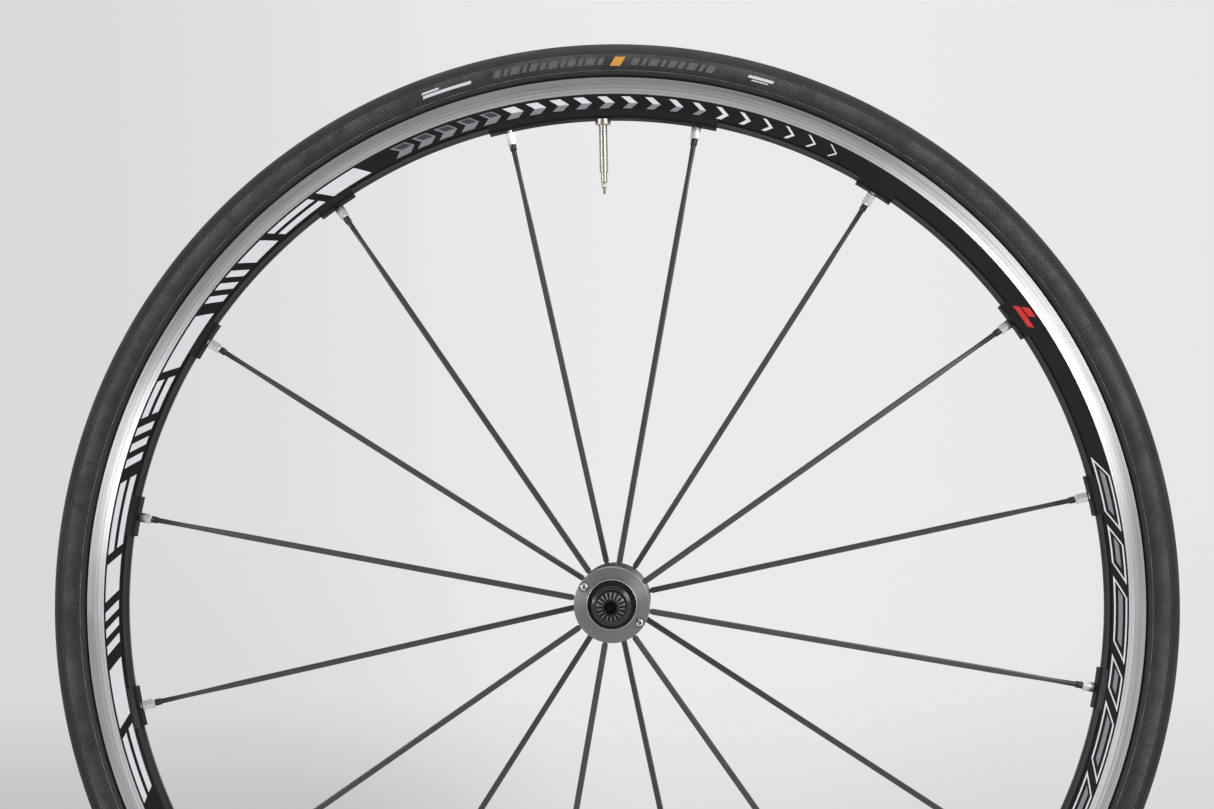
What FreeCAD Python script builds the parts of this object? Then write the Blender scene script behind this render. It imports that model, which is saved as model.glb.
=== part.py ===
"""Front wheel of a road bicycle with a quick-release skewer.

Origin: centre of the wheel, on the axle line and in the rim's middle plane.
+Y runs along the axle towards the quick-release lever, and the nut is on the -Y side.
+Z is up with the valve at the top.  All sizes are in millimetres.
Each sub-part is written as one STEP file to parts/NODE.step.

A revolved outline is a list of (radius from the axle line, position along Y).
A radial piece is drawn along +X from the rim's inner face towards the hub, then aimed.
"""
import FreeCAD, Part
import math
import os

V = FreeCAD.Vector
CENTRE = V(0, 0, 0)
X_WAY, Y_WAY, Z_WAY = V(1, 0, 0), V(0, 1, 0), V(0, 0, 1)
NUT_SIDE, LEVER_SIDE = -1, 1

# ---------------------------------------------------------------- driving dimensions

# rim: bead seats and width between the flanges follow the 622 x 15C size
bead_seat_radius = 311.0
flange_height = 5.5
rim_inner_width = 15.0
brake_track_width = 20.5
brake_track_height = 10.2
rim_body_width = 20.0
rim_waist_width = 18.6
rim_depth = 24.1
spoke_bed_width = 9.0
bed_corner_rise = 0.78
bed_corner_width = 15.0
waist_rise = 4.16
brake_track_step = 0.2
rim_edge_drop = 0.3
rim_edge_round = 0.5
tyre_well_depth = 3.0
tyre_well_width = 8.0
bead_shelf_width = 2.4
bridge_thickness = 1.3
rim_wall = 1.3
box_floor_thickness = 3.7
hollow_corner_gap = 0.4

# milling between the spoke bosses
boss_length = 24.0
milled_depth = 2.1
milled_crown = 1.1
milled_flat_width = 7.0

# tyre
tyre_width = 27.0
tyre_height = 27.4
tread_thickness = 3.0
sidewall_thickness = 1.6
bead_width = 2.6
bead_height = 4.0
tyre_gap = 0.2
sidewall_clearance = 0.5
crown_steps = 4
swell_steps = 2
lining_steps = 3

# spokes: one set per side, half a pitch apart, straight from hub to rim
spokes_per_side = 8
blade_width = 3.6
blade_thickness = 1.9
waist_width = 2.8
blade_edge = 0.55
waist_from_rim = 27.0
blade_start_from_rim = 62.0
round_edge = 0.29
spoke_neck_width = 3.2
spoke_neck_length = 3.0
spoke_collar_radius = 2.05
spoke_collar_length = 3.8
spoke_shank_width = 2.3
blade_run_out = 1.4
spoke_shank_length = 4.4
spoke_head_radius = 1.45
spoke_head_width = 5.2
spoke_slot_gap = 0.3

# nipples
nipple_across_flats = 5.7
nipple_length = 8.0
nipple_seat_gap_length = 0.45
nipple_seat_radius = 2.4
nipple_seat_gap = 0.2
nipple_reach_past_floor = 0.8
nipple_seat_run_out = 2.0

# hub
over_locknuts = 100.0
axle_stub_length = 5.0
axle_stub_radius = 4.5
axle_radius = 5.0
axle_bore_radius = 2.8
barrel_radius = 12.5
barrel_bore_radius = 10.6
barrel_flare_radius = 15.6
barrel_flare_length = 3.0
barrel_straight_half = 17.0
flange_radius = 21.8
flange_inner_face = 31.0
flange_outer_face = 36.0
spoke_plane = 34.3
spoke_seat_radius = 18.0

clamp_ring_radius = 22.3
clamp_ring_thickness = 2.0
clamp_ring_opening = 13.8
clamp_ring_chamfer = 0.8
clamp_ring_edge = 0.5
ring_screw_circle = 19.2
ring_screw_angle = 146.25
ring_screws_per_side = 2
screw_head_radius = 2.55
screw_head_top_radius = 1.6
screw_head_height = 1.5
screw_pocket_radius = 3.0
screw_pocket_depth = 1.2
screw_shank_radius = 1.25
screw_shank_gap = 0.1
screw_depth = 3.6
screw_tip_room = 0.3
screw_socket_across = 1.9
screw_socket_depth = 0.9

bearing_outer_radius = 12.0
bearing_race_radius = 8.0
bearing_width = 6.0
bearing_running_gap = 0.08
bearing_inset = 0.1
fit_gap = 0.02

seal_inner_radius = 8.4
seal_thickness = 0.9
seal_gap = 0.15
end_cap_radius = 11.4
end_cap_face_radius = 9.8
end_cap_chamfer = 1.0
end_cap_nose_radius = 7.6

# quick-release skewer
dropout_thickness = 6.0
cam_throw = 0.8
skewer_radius = 2.5
skewer_slide_gap = 0.1
spring_wire = 0.8
spring_turns = 3
steps_per_turn = 12
spring_end_gap = 0.15
spring_small_radius = 3.6
spring_large_radius = 5.3
spring_pocket_radius = 6.3
spring_pocket_depth = 4.0

nut_base_radius = 8.3
nut_shoulder_radius = 7.6
nut_tip_radius = 5.0
nut_base_length = 1.6
nut_length = 12.0
nut_tip_edge = 0.4
nut_rib_count = 18
nut_flute_radius = 0.75
nut_flute_depth = 0.6
nut_flute_start = 0.6
nut_flute_run_out = 0.5
nut_mouth_radius = 3.3
nut_mouth_depth = 3.0
skewer_end_recess = 0.6
nut_washer_thickness = 2.0
nut_washer_edge = 0.5
washer_seat_gap = 0.1

cam_housing_radius = 9.0
cam_housing_length = 18.0
cam_housing_edge = 2.0
cam_housing_collar = 2.5
cam_housing_flat_depth = 1.26
lever_axis_from_face = 10.0
cam_radius = 2.1
cam_play = 0.25
lever_journal_radius = 3.2
journal_gap = 0.05
skewer_eye_width = 8.4
skewer_eye_length = 7.4
skewer_eye_thickness = 6.0
eye_pocket_gap = 0.35
housing_plug_thickness = 1.6
housing_plug_margin = 0.4

lever_boss_radius = 5.6
lever_boss_height = 5.0
lever_side_gap = 0.3
lever_length = 54.0
lever_root_width = 10.0
lever_pad_width = 13.0
lever_thickness = 3.2
lever_drop = 9.5
lever_bend_start = 9.0
lever_bend_end = 21.0
lever_tip_length = 10.0
lever_tip_top_rise = 1.2
lever_tip_under_rise = 2.2
acorn_radius = 4.8
acorn_tip_radius = 2.6
acorn_length = 4.6

# valve
valve_hole_radius = 3.2
valve_stem_radius = 2.6
valve_thread_radius = 2.85
valve_stem_length = 29.2
valve_ring_radius = 4.8
valve_ring_length = 3.1
valve_ring_hub_length = 1.2
valve_ring_seat_gap = 0.12
valve_neck_radius = 2.0
valve_neck_length = 6.1
valve_nut_radius = 1.75
valve_nut_length = 3.5
valve_nut_gap = 0.05
valve_pin_radius = 0.75
valve_pin_length = 3.6
valve_core_depth = 12.0
valve_bore_gap = 0.1
valve_foot_radius = 3.9
valve_foot_thickness = 1.4
valve_seal_thickness = 1.6

# how far pieces that are fused overlap, and how far a cutter runs past what it cuts
fuse_overlap = 0.5
overcut = 1.0

# ---------------------------------------------------------------- sizes worked out

rim_edge_radius = bead_seat_radius + flange_height
spoke_bed_radius = rim_edge_radius - rim_depth
tyre_outer_radius = bead_seat_radius + tyre_height
brake_track_foot = rim_edge_radius - brake_track_height - brake_track_step
well_radius = bead_seat_radius - tyre_well_depth
box_roof_radius = well_radius - bridge_thickness
box_floor_radius = spoke_bed_radius + box_floor_thickness
milled_radius = spoke_bed_radius + milled_depth

spoke_pitch_angle = 360.0 / spokes_per_side
first_spoke_angle = {
    NUT_SIDE: 90.0 - spoke_pitch_angle / 4,
    LEVER_SIDE: 90.0 + spoke_pitch_angle / 4,
}
boss_pitch_angle = spoke_pitch_angle / 2
spoke_run = spoke_bed_radius - spoke_seat_radius
spoke_length = math.hypot(spoke_run, spoke_plane)

locknut_face = over_locknuts / 2
axle_end = locknut_face + axle_stub_length
bearing_outer_face = flange_outer_face - bearing_inset
bearing_inner_face = bearing_outer_face - bearing_width
clamp_ring_face = flange_outer_face + clamp_ring_thickness
screw_hole_radius = screw_shank_radius + screw_shank_gap
end_cap_start = flange_outer_face + seal_thickness + 2 * seal_gap

cam_face = locknut_face + dropout_thickness
nut_face = locknut_face + dropout_thickness + cam_throw
nut_start = nut_face + nut_washer_thickness + washer_seat_gap
nut_end = nut_face + nut_washer_thickness + nut_length
lever_axis = cam_face + lever_axis_from_face
housing_end = cam_face + cam_housing_length
housing_flat = cam_housing_radius - cam_housing_flat_depth


# ---------------------------------------------------------------- drawing helpers

def outline_wire(corners):
    """Closed wire through (radius, along) corners in the XY plane."""
    points = [V(radius, along, 0) for radius, along in corners]
    return Part.makePolygon(points + points[:1])


def turned(corners, void=None):
    """Solid of revolution about the axle line, with an optional closed void."""
    face = Part.Face(outline_wire(corners))
    solid = face.revolve(CENTRE, Y_WAY, 360)
    if void:
        solid = solid.cut(turned(void))
    return solid


def sided(corners, side):
    """The corners moved to one side of the wheel: -1 for the nut, +1 for the lever."""
    return [(radius, side * along) for radius, along in corners]


def both_sides(half):
    """A symmetrical closed outline from the corners of its +Y half."""
    return half + [(radius, -along) for radius, along in reversed(half) if along > 0]


def rod(radius, start, way, length):
    """Cylinder from a point along a direction."""
    return Part.makeCylinder(radius, length, start, way)


def hexagon(corner):
    """Six corners round the X axis, at the corner radius."""
    turns = [math.radians(60 * i) for i in range(6)]
    return [V(0, corner * math.cos(turn), corner * math.sin(turn)) for turn in turns]


def block(low, high):
    """Box between two opposite corners."""
    size = [high[i] - low[i] for i in range(3)]
    return Part.makeBox(*size, V(*low))


def aimed(shape, angle, side=None):
    """Move a radial piece from its drawing line to its place at an angle in the wheel.

    With a side, the piece leans along the spoke line that ends at that hub flange.
    """
    placed = shape.copy()
    lean = 0.0
    if side:
        lean = math.degrees(math.atan2(side * spoke_plane, spoke_run))
    placed.rotate(CENTRE, Z_WAY, 180.0 - lean)
    placed.translate(V(spoke_bed_radius, 0, 0))
    placed.rotate(CENTRE, Y_WAY, -angle)
    return placed


def around(angle, shape):
    """Turn a piece drawn at +X to an angle in the wheel, counted from +X towards +Z."""
    placed = shape.copy()
    placed.rotate(CENTRE, Y_WAY, -angle)
    return placed


def spoke_angles(side):
    """Angles of the spokes of one side."""
    return [first_spoke_angle[side] + i * spoke_pitch_angle for i in range(spokes_per_side)]


def joined(shapes):
    """One solid from pieces that overlap."""
    whole = shapes[0]
    for shape in shapes[1:]:
        whole = whole.fuse(shape)
    return whole.removeSplitter()


def save(name, shapes):
    """Write one sub-part, either one solid or a group of separate solids."""
    shape = shapes if isinstance(shapes, Part.Shape) else Part.makeCompound(shapes)
    shape.exportStep(f"parts/{name}.step")


# ---------------------------------------------------------------- rim and tyre

def rim_section():
    """Outer outline of the box-section rim, without its hollow."""
    return both_sides([
        (spoke_bed_radius, spoke_bed_width / 2),
        (spoke_bed_radius + bed_corner_rise, bed_corner_width / 2),
        (spoke_bed_radius + waist_rise, rim_waist_width / 2),
        (brake_track_foot, rim_body_width / 2),
        (brake_track_foot + brake_track_step, brake_track_width / 2),
        (rim_edge_radius - rim_edge_drop, brake_track_width / 2),
        (rim_edge_radius, brake_track_width / 2 - rim_edge_round),
        (rim_edge_radius, rim_inner_width / 2),
        (bead_seat_radius, rim_inner_width / 2),
        (bead_seat_radius, rim_inner_width / 2 - bead_shelf_width),
        (well_radius, tyre_well_width / 2),
    ])


def rim_hollow():
    """The closed hollow between the spoke bed, the side walls and the tyre well."""
    return both_sides([
        (box_floor_radius, rim_waist_width / 2 - rim_wall - hollow_corner_gap),
        (box_roof_radius, rim_body_width / 2 - rim_wall),
    ])


def milling_cutter(span):
    """The metal milled off the spoke bed over one span, dished across its width."""
    half = rim_waist_width / 2 + overcut
    edge = milled_radius + milled_crown
    below = spoke_bed_radius - overcut
    corners = [(below, half), (edge, half), (milled_radius, milled_flat_width / 2)]
    cutter = Part.Face(outline_wire(both_sides(corners))).revolve(CENTRE, Y_WAY, span)
    cutter.rotate(CENTRE, Y_WAY, -span / 2)
    return cutter


def milled_spans():
    """(middle angle, span) of each milled stretch between two spoke bosses."""
    boss_angle = math.degrees(boss_length / spoke_bed_radius)
    spans = []
    for i in range(1, 2 * spokes_per_side):
        spans.append((90.0 + i * boss_pitch_angle, boss_pitch_angle - boss_angle))
    return spans


def rim():
    """Box-section rim with spoke bosses, nipple seats and the valve hole."""
    body = turned(rim_section(), rim_hollow())
    for middle, span in milled_spans():
        body = body.cut(around(middle, milling_cutter(span)))
    seat = rod(nipple_seat_radius + nipple_seat_gap, V(nipple_seat_run_out, 0, 0), V(-1, 0, 0),
               box_floor_thickness + 2 * nipple_seat_run_out)
    for side in (NUT_SIDE, LEVER_SIDE):
        for angle in spoke_angles(side):
            body = body.cut(aimed(seat, angle, side))
    valve_hole = rod(valve_hole_radius, V(overcut, 0, 0), V(-1, 0, 0),
                     well_radius - spoke_bed_radius + 3 * overcut)
    return body.cut(aimed(valve_hole, 90.0))


def tyre():
    """Hollow tyre, open towards the rim, with its beads on the rim's shelves."""
    half = tyre_width / 2
    widest = tyre_outer_radius - half
    heel = rim_inner_width / 2 - tyre_gap
    toe = heel - bead_width
    foot = bead_seat_radius + tyre_gap
    leave = rim_edge_radius + sidewall_clearance
    inner_half = half - sidewall_thickness
    inner_rise = tyre_outer_radius - tread_thickness - widest
    swell_rise, swell_reach = widest - leave, half - heel
    swell = (swell_rise ** 2 + swell_reach ** 2) / (2 * swell_reach)
    swell_angle = 2 * math.atan2(swell_reach, swell_rise)

    section = [(tyre_outer_radius, 0)]
    for step in range(1, crown_steps + 1):
        angle = math.pi / 2 * step / crown_steps
        section.append((widest + half * math.cos(angle), half * math.sin(angle)))
    for step in range(1, swell_steps + 1):
        angle = swell_angle * step / swell_steps
        section.append((widest - swell * math.sin(angle), half - swell * (1 - math.cos(angle))))
    section += [(foot, heel), (foot, toe), (foot + bead_height, toe), (widest, inner_half)]
    for step in range(1, lining_steps):
        angle = math.pi / 2 * (1 - step / lining_steps)
        section.append((widest + inner_rise * math.cos(angle), inner_half * math.sin(angle)))
    section.append((widest + inner_rise, 0))
    mirrored = [(radius, -along) for radius, along in reversed(section) if along > 0]
    return turned(section + mirrored)


# ---------------------------------------------------------------- spokes and nipples

def section_ring(distance, width, thickness, edge):
    """Eight-cornered section with cut edges, square to the spoke line."""
    half, thick = width / 2, thickness / 2
    corners = [
        (half, edge - thick), (half, thick - edge), (half - edge, thick), (edge - half, thick),
        (-half, thick - edge), (-half, edge - thick), (edge - half, -thick), (half - edge, -thick),
    ]
    return [V(distance, along, across) for across, along in corners]


def skinned(rings):
    """Solid with flat faces through a row of rings that have as many corners each."""
    faces = [Part.Face(Part.makePolygon(ring + ring[:1])) for ring in (rings[0], rings[-1])]
    for near, far in zip(rings, rings[1:]):
        for i in range(len(near)):
            j = (i + 1) % len(near)
            for corners in ((near[i], near[j], far[j]), (near[i], far[j], far[i])):
                faces.append(Part.Face(Part.makePolygon(list(corners) + [corners[0]])))
    return Part.Solid(Part.Shell(faces))


def spoke():
    """Bladed spoke along +X from the nipple: collar, neck, waisted blade, shank and T head."""
    collar_start = nipple_seat_gap_length + nipple_length
    neck_start = collar_start + spoke_collar_length
    shank_start = spoke_length - spoke_shank_length
    collar = rod(spoke_collar_radius, V(collar_start, 0, 0), X_WAY, spoke_collar_length)
    stations = [
        (neck_start - fuse_overlap, spoke_neck_width, spoke_neck_width, spoke_neck_width * round_edge),
        (neck_start + spoke_neck_length, spoke_neck_width, spoke_neck_width, spoke_neck_width * round_edge),
        (waist_from_rim, waist_width, blade_thickness, blade_edge),
        (blade_start_from_rim, blade_width, blade_thickness, blade_edge),
        (shank_start - blade_run_out, blade_width, blade_thickness, blade_edge),
        (shank_start, spoke_shank_width, spoke_shank_width, spoke_shank_width * round_edge),
        (spoke_length, spoke_shank_width, spoke_shank_width, spoke_shank_width * round_edge),
    ]
    blade = skinned([section_ring(*station) for station in stations])
    head = rod(spoke_head_radius, V(spoke_length, 0, -spoke_head_width / 2), Z_WAY, spoke_head_width)
    return joined([collar, blade, head])


def nipple():
    """Hexagonal nipple on a round shank that goes through the spoke bed."""
    corner = nipple_across_flats / math.sqrt(3)
    ring = hexagon(corner)
    body = Part.Face(Part.makePolygon(ring + ring[:1])).extrude(V(nipple_length, 0, 0))
    body.translate(V(nipple_seat_gap_length, 0, 0))
    reach = box_floor_thickness + nipple_reach_past_floor
    shank = rod(nipple_seat_radius, V(-reach, 0, 0), X_WAY, reach + nipple_seat_gap_length)
    return joined([shank, body])


# ---------------------------------------------------------------- hub

def hub_shell():
    """Barrel with two slotted flanges and a bearing seat at each end."""
    outside = both_sides([
        (barrel_radius, barrel_straight_half),
        (barrel_flare_radius, flange_inner_face - barrel_flare_length),
        (flange_radius, flange_inner_face),
        (flange_radius, flange_outer_face),
        (bearing_outer_radius + fit_gap, flange_outer_face),
        (bearing_outer_radius + fit_gap, bearing_inner_face),
        (barrel_bore_radius, bearing_inner_face),
    ])
    shell = turned(outside)
    floor = spoke_plane - spoke_head_radius - spoke_slot_gap
    slot_half = spoke_shank_width / 2 + spoke_slot_gap
    head_half = spoke_head_width / 2 + spoke_slot_gap
    reach = spoke_head_radius + spoke_slot_gap
    for side in (NUT_SIDE, LEVER_SIDE):
        low, high = sorted((side * floor, side * (flange_outer_face + overcut)))
        slot = block((spoke_seat_radius, low, -slot_half), (flange_radius + overcut, high, slot_half))
        pocket_low = (spoke_seat_radius - reach, low, -head_half)
        pocket_high = (spoke_seat_radius + reach, high, head_half)
        pocket = block(pocket_low, pocket_high)
        cut = slot.fuse(pocket)
        for angle in spoke_angles(side):
            shell = shell.cut(around(angle, cut))
        mouth = V(ring_screw_circle, side * (flange_outer_face + overcut), 0)
        hole = rod(screw_hole_radius, mouth, V(0, -side, 0), overcut + screw_depth + screw_tip_room)
        for angle in ring_screw_angles(side):
            shell = shell.cut(around(angle, hole))
    return shell


def ring_screw_angles(side):
    """Angles of the clamp ring's screws, midway between that side's spokes."""
    first = ring_screw_angle if side == NUT_SIDE else 180.0 - ring_screw_angle
    return [first + i * 360.0 / ring_screws_per_side for i in range(ring_screws_per_side)]


def clamp_ring(side):
    """Ring that holds the spoke heads in their slots, with a polished chamfered opening."""
    outer = clamp_ring_face
    body = turned(sided([
        (clamp_ring_opening, flange_outer_face),
        (clamp_ring_opening, outer - clamp_ring_chamfer),
        (clamp_ring_opening + clamp_ring_chamfer, outer),
        (clamp_ring_radius - clamp_ring_edge, outer),
        (clamp_ring_radius, outer - clamp_ring_edge),
        (clamp_ring_radius, flange_outer_face),
    ], side))
    inwards, mouth = V(0, -side, 0), V(ring_screw_circle, side * (outer + overcut), 0)
    pocket = rod(screw_pocket_radius, mouth, inwards, screw_pocket_depth + overcut)
    hole = rod(screw_hole_radius, mouth, inwards, clamp_ring_thickness + 2 * overcut)
    for angle in ring_screw_angles(side):
        body = body.cut(around(angle, pocket.fuse(hole)))
    return body


def ring_screw(side):
    """Button-head screw with a hexagonal socket, drawn at +X on the screw circle."""
    seat = clamp_ring_face - screw_pocket_depth
    inwards = V(0, -side, 0)
    head = Part.makeCone(screw_head_radius, screw_head_top_radius, screw_head_height,
                         V(ring_screw_circle, side * seat, 0), V(0, side, 0))
    shank_length = screw_depth + clamp_ring_thickness - screw_pocket_depth
    shank = rod(screw_shank_radius, V(ring_screw_circle, side * seat, 0), inwards, shank_length)
    top = side * (seat + screw_head_height)
    corner = screw_socket_across / math.sqrt(3)
    ring = [V(ring_screw_circle + corner * math.cos(math.radians(a)), top, corner * math.sin(math.radians(a)))
            for a in range(0, 360, 60)]
    socket = Part.Face(Part.makePolygon(ring + ring[:1])).extrude(inwards * screw_socket_depth)
    return head.fuse(shank).cut(socket)


def bearing_outer(side):
    """Outer ring of a sealed bearing with its shields, pressed into the hub shell."""
    bore = bearing_race_radius + bearing_running_gap
    return turned(sided([
        (bore, bearing_inner_face), (bearing_outer_radius, bearing_inner_face),
        (bearing_outer_radius, bearing_outer_face), (bore, bearing_outer_face),
    ], side))


def bearing_inner(side):
    """Inner ring of the bearing, on the axle."""
    return turned(sided([
        (axle_radius + fit_gap, bearing_inner_face), (bearing_race_radius, bearing_inner_face),
        (bearing_race_radius, bearing_outer_face), (axle_radius + fit_gap, bearing_outer_face),
    ], side))


def seal(side):
    """Flat rubber seal in the clamp ring's opening."""
    start = flange_outer_face + fit_gap
    outer = clamp_ring_opening - 2 * fit_gap
    return turned(sided([
        (seal_inner_radius, start), (outer, start),
        (outer, start + seal_thickness), (seal_inner_radius, start + seal_thickness),
    ], side))


def end_cap(side):
    """Domed locknut that holds the bearing's inner ring and bears on the fork."""
    bore = axle_radius + fit_gap
    return turned(sided([
        (bore, bearing_outer_face + fit_gap),
        (end_cap_nose_radius, bearing_outer_face + fit_gap),
        (end_cap_nose_radius, end_cap_start),
        (end_cap_radius, end_cap_start),
        (end_cap_radius, locknut_face - end_cap_chamfer),
        (end_cap_face_radius, locknut_face),
        (bore, locknut_face),
    ], side))


def axle():
    """Hollow axle with a turned-down stub at each end for the fork."""
    return turned(both_sides([
        (axle_radius, locknut_face),
        (axle_stub_radius, locknut_face),
        (axle_stub_radius, axle_end),
        (axle_bore_radius, axle_end),
    ]))


# ---------------------------------------------------------------- quick release

def coil_spring(start, end, side):
    """Conical spring round the skewer, from its small end to its large end."""
    half = spring_wire / 2
    length = end - start - spring_wire
    rings = []
    for step in range(spring_turns * steps_per_turn + 1):
        share = step / (spring_turns * steps_per_turn)
        turn = 2 * math.pi * spring_turns * share
        radius = spring_small_radius + (spring_large_radius - spring_small_radius) * share
        along = side * (start + half + length * share)
        ring = []
        for out, up in ((-half, -half), (half, -half), (half, half), (-half, half)):
            ring.append(V((radius + out) * math.cos(turn), along + up, (radius + out) * math.sin(turn)))
        rings.append(ring)
    return skinned(rings)


def skewer():
    """Skewer rod with the eye that the lever's cam pulls."""
    head_start = lever_axis - skewer_eye_length / 2
    shaft_start = nut_end - nut_mouth_depth - skewer_end_recess
    shaft = rod(skewer_radius, V(0, -shaft_start, 0), Y_WAY, shaft_start + head_start + fuse_overlap)
    half_x, half_z = skewer_eye_width / 2, skewer_eye_thickness / 2
    eye = block((-half_x, head_start, -half_z), (half_x, head_start + skewer_eye_length, half_z))
    slot_half = cam_radius + cam_play
    past = half_z + overcut
    slot = [rod(slot_half, V(x, lever_axis, -past), Z_WAY, 2 * past) for x in (-cam_throw, cam_throw)]
    bridge = block((-cam_throw, lever_axis - slot_half, -past), (cam_throw, lever_axis + slot_half, past))
    return joined([shaft, eye]).cut(joined(slot + [bridge]))


def cam_housing():
    """Housing that bears on the fork, with the eye's pocket, the cam bore and the spring's pocket."""
    body = turned([
        (0, cam_face), (cam_housing_radius, cam_face), (cam_housing_radius, housing_end - cam_housing_edge),
        (cam_housing_radius - cam_housing_edge, housing_end), (0, housing_end),
    ])
    past, beyond = cam_housing_radius + overcut, housing_end + overcut
    for low, high in ((housing_flat, past), (-past, -housing_flat)):
        body = body.cut(block((-past, cam_face + cam_housing_collar, low), (past, beyond, high)))
    gap = eye_pocket_gap
    half_x, half_z = skewer_eye_width / 2 + gap, skewer_eye_thickness / 2 + gap
    floor = lever_axis - skewer_eye_length / 2 - cam_throw - gap
    pocket = block((-half_x, floor, -half_z), (half_x, beyond, half_z))
    front = V(0, cam_face - overcut, 0)
    bore = rod(skewer_radius + skewer_slide_gap, front, Y_WAY, cam_housing_length)
    spring_room = rod(spring_pocket_radius, front, Y_WAY, spring_pocket_depth + overcut)
    cross = rod(lever_journal_radius + journal_gap, V(0, lever_axis, -past), Z_WAY, 2 * past)
    plug_seat = plug_shape(fit_gap, housing_plug_thickness + overcut)
    return body.cut(pocket).cut(bore).cut(spring_room).cut(cross).cut(plug_seat)


def plug_shape(gap, length):
    """Round plug that closes the housing behind the eye."""
    half_x = skewer_eye_width / 2 + eye_pocket_gap
    half_z = skewer_eye_thickness / 2 + eye_pocket_gap
    radius = math.hypot(half_x, half_z) + housing_plug_margin
    return rod(radius + gap, V(0, housing_end - housing_plug_thickness, 0), Y_WAY, length)


def nut_washer():
    """Steel ring that bites on the fork; the nut turns against it."""
    back = nut_face + nut_washer_thickness
    return turned(sided([
        (spring_pocket_radius, nut_face),
        (nut_base_radius - nut_washer_edge, nut_face),
        (nut_base_radius, nut_face + nut_washer_edge),
        (nut_base_radius, back),
        (spring_pocket_radius, back),
    ], NUT_SIDE))


def qr_nut():
    """Ribbed conical nut with a threaded bore and a pocket for the spring."""
    pocket_end = nut_face + spring_pocket_depth
    bore = skewer_radius + journal_gap
    body = turned(sided([
        (spring_pocket_radius, nut_start), (nut_base_radius, nut_start),
        (nut_base_radius, nut_start + nut_base_length), (nut_shoulder_radius, nut_start + nut_base_length),
        (nut_tip_radius, nut_end - nut_tip_edge), (nut_tip_radius - nut_tip_edge, nut_end),
        (nut_mouth_radius, nut_end), (bore, nut_end - nut_mouth_depth),
        (bore, pocket_end), (spring_pocket_radius, pocket_end),
    ], NUT_SIDE))
    foot = nut_start + nut_base_length + nut_flute_start
    start = V(nut_shoulder_radius + nut_flute_radius - nut_flute_depth, -foot, 0)
    end = V(nut_tip_radius + nut_flute_radius - nut_flute_depth, -nut_end - nut_flute_run_out, 0)
    flute = rod(nut_flute_radius, start, end - start, (end - start).Length)
    for i in range(nut_rib_count):
        body = body.cut(around(i * 360.0 / nut_rib_count, flute))
    return body


def lever():
    """Lever with its cam shaft: a cranked arm that ends in a thumb pad."""
    side_face = housing_flat + lever_side_gap
    boss_top = side_face + lever_boss_height
    boss = rod(lever_boss_radius, V(0, lever_axis, side_face), Z_WAY, lever_boss_height)
    inner_half = skewer_eye_thickness / 2 + eye_pocket_gap
    journal = side_face - inner_half
    upper = rod(lever_journal_radius, V(0, lever_axis, inner_half), Z_WAY, journal + 2 * fuse_overlap)
    lower = rod(lever_journal_radius, V(0, lever_axis, -side_face), Z_WAY, journal)
    cam_half = inner_half + fuse_overlap
    cam = rod(cam_radius, V(cam_throw, lever_axis, -cam_half), Z_WAY, 2 * cam_half)
    low_top = boss_top - lever_drop
    bend_a, bend_b = lever_axis + lever_bend_start, lever_axis + lever_bend_end
    tip = lever_axis + lever_length
    tip_start = tip - lever_tip_length
    under, low_under = boss_top - lever_thickness, low_top - lever_thickness
    side_view = [
        V(0, lever_axis, under), V(0, bend_a, under), V(0, bend_b, low_under), V(0, tip_start, low_under),
        V(0, tip, low_under + lever_tip_under_rise), V(0, tip, low_top + lever_tip_top_rise),
        V(0, tip_start, low_top), V(0, bend_b, low_top), V(0, bend_a, boss_top), V(0, lever_axis, boss_top),
    ]
    arm = Part.Face(Part.makePolygon(side_view + side_view[:1])).extrude(V(lever_pad_width, 0, 0))
    arm.translate(V(-lever_pad_width / 2, 0, 0))
    root, pad = lever_root_width / 2, lever_pad_width / 2
    edges = Part.makePolygon([V(-pad, tip - pad, 0), V(-root, bend_b, 0), V(-root, lever_axis, 0),
                              V(root, lever_axis, 0), V(root, bend_b, 0), V(pad, tip - pad, 0)]).Edges
    edges.append(Part.Arc(V(pad, tip - pad, 0), V(0, tip, 0), V(-pad, tip - pad, 0)).toShape())
    plan = Part.Face(Part.Wire(edges)).extrude(V(0, 0, 2 * boss_top))
    plan.translate(V(0, 0, -boss_top))
    return joined([boss, arm.common(plan), upper, lower, cam])


def acorn_nut():
    """Domed nut on the far end of the cam shaft."""
    start = -(housing_flat + lever_side_gap)
    return Part.makeCone(acorn_radius, acorn_tip_radius, acorn_length, V(0, lever_axis, start), V(0, 0, -1))


# ---------------------------------------------------------------- valve

def valve_stem():
    """Stem from its foot on the tyre well to its neck, with a bore for the core."""
    well_floor = spoke_bed_radius - well_radius
    foot_start = well_floor - valve_seal_thickness
    thread_end = valve_ring_length
    stem_end = thread_end + valve_stem_length
    neck_end = stem_end + valve_neck_length
    foot = rod(valve_foot_radius, V(foot_start - valve_foot_thickness, 0, 0), X_WAY, valve_foot_thickness)
    deeper = fuse_overlap
    thread = rod(valve_thread_radius, V(foot_start - deeper, 0, 0), X_WAY, thread_end - foot_start + deeper)
    stem = rod(valve_stem_radius, V(thread_end - deeper, 0, 0), X_WAY, valve_stem_length + deeper)
    neck = rod(valve_neck_radius, V(stem_end - deeper, 0, 0), X_WAY, valve_neck_length + deeper)
    bore = rod(valve_pin_radius + valve_bore_gap, V(neck_end + overcut, 0, 0), V(-1, 0, 0),
               valve_core_depth + overcut)
    return joined([foot, thread, stem, neck]).cut(bore)


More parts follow.
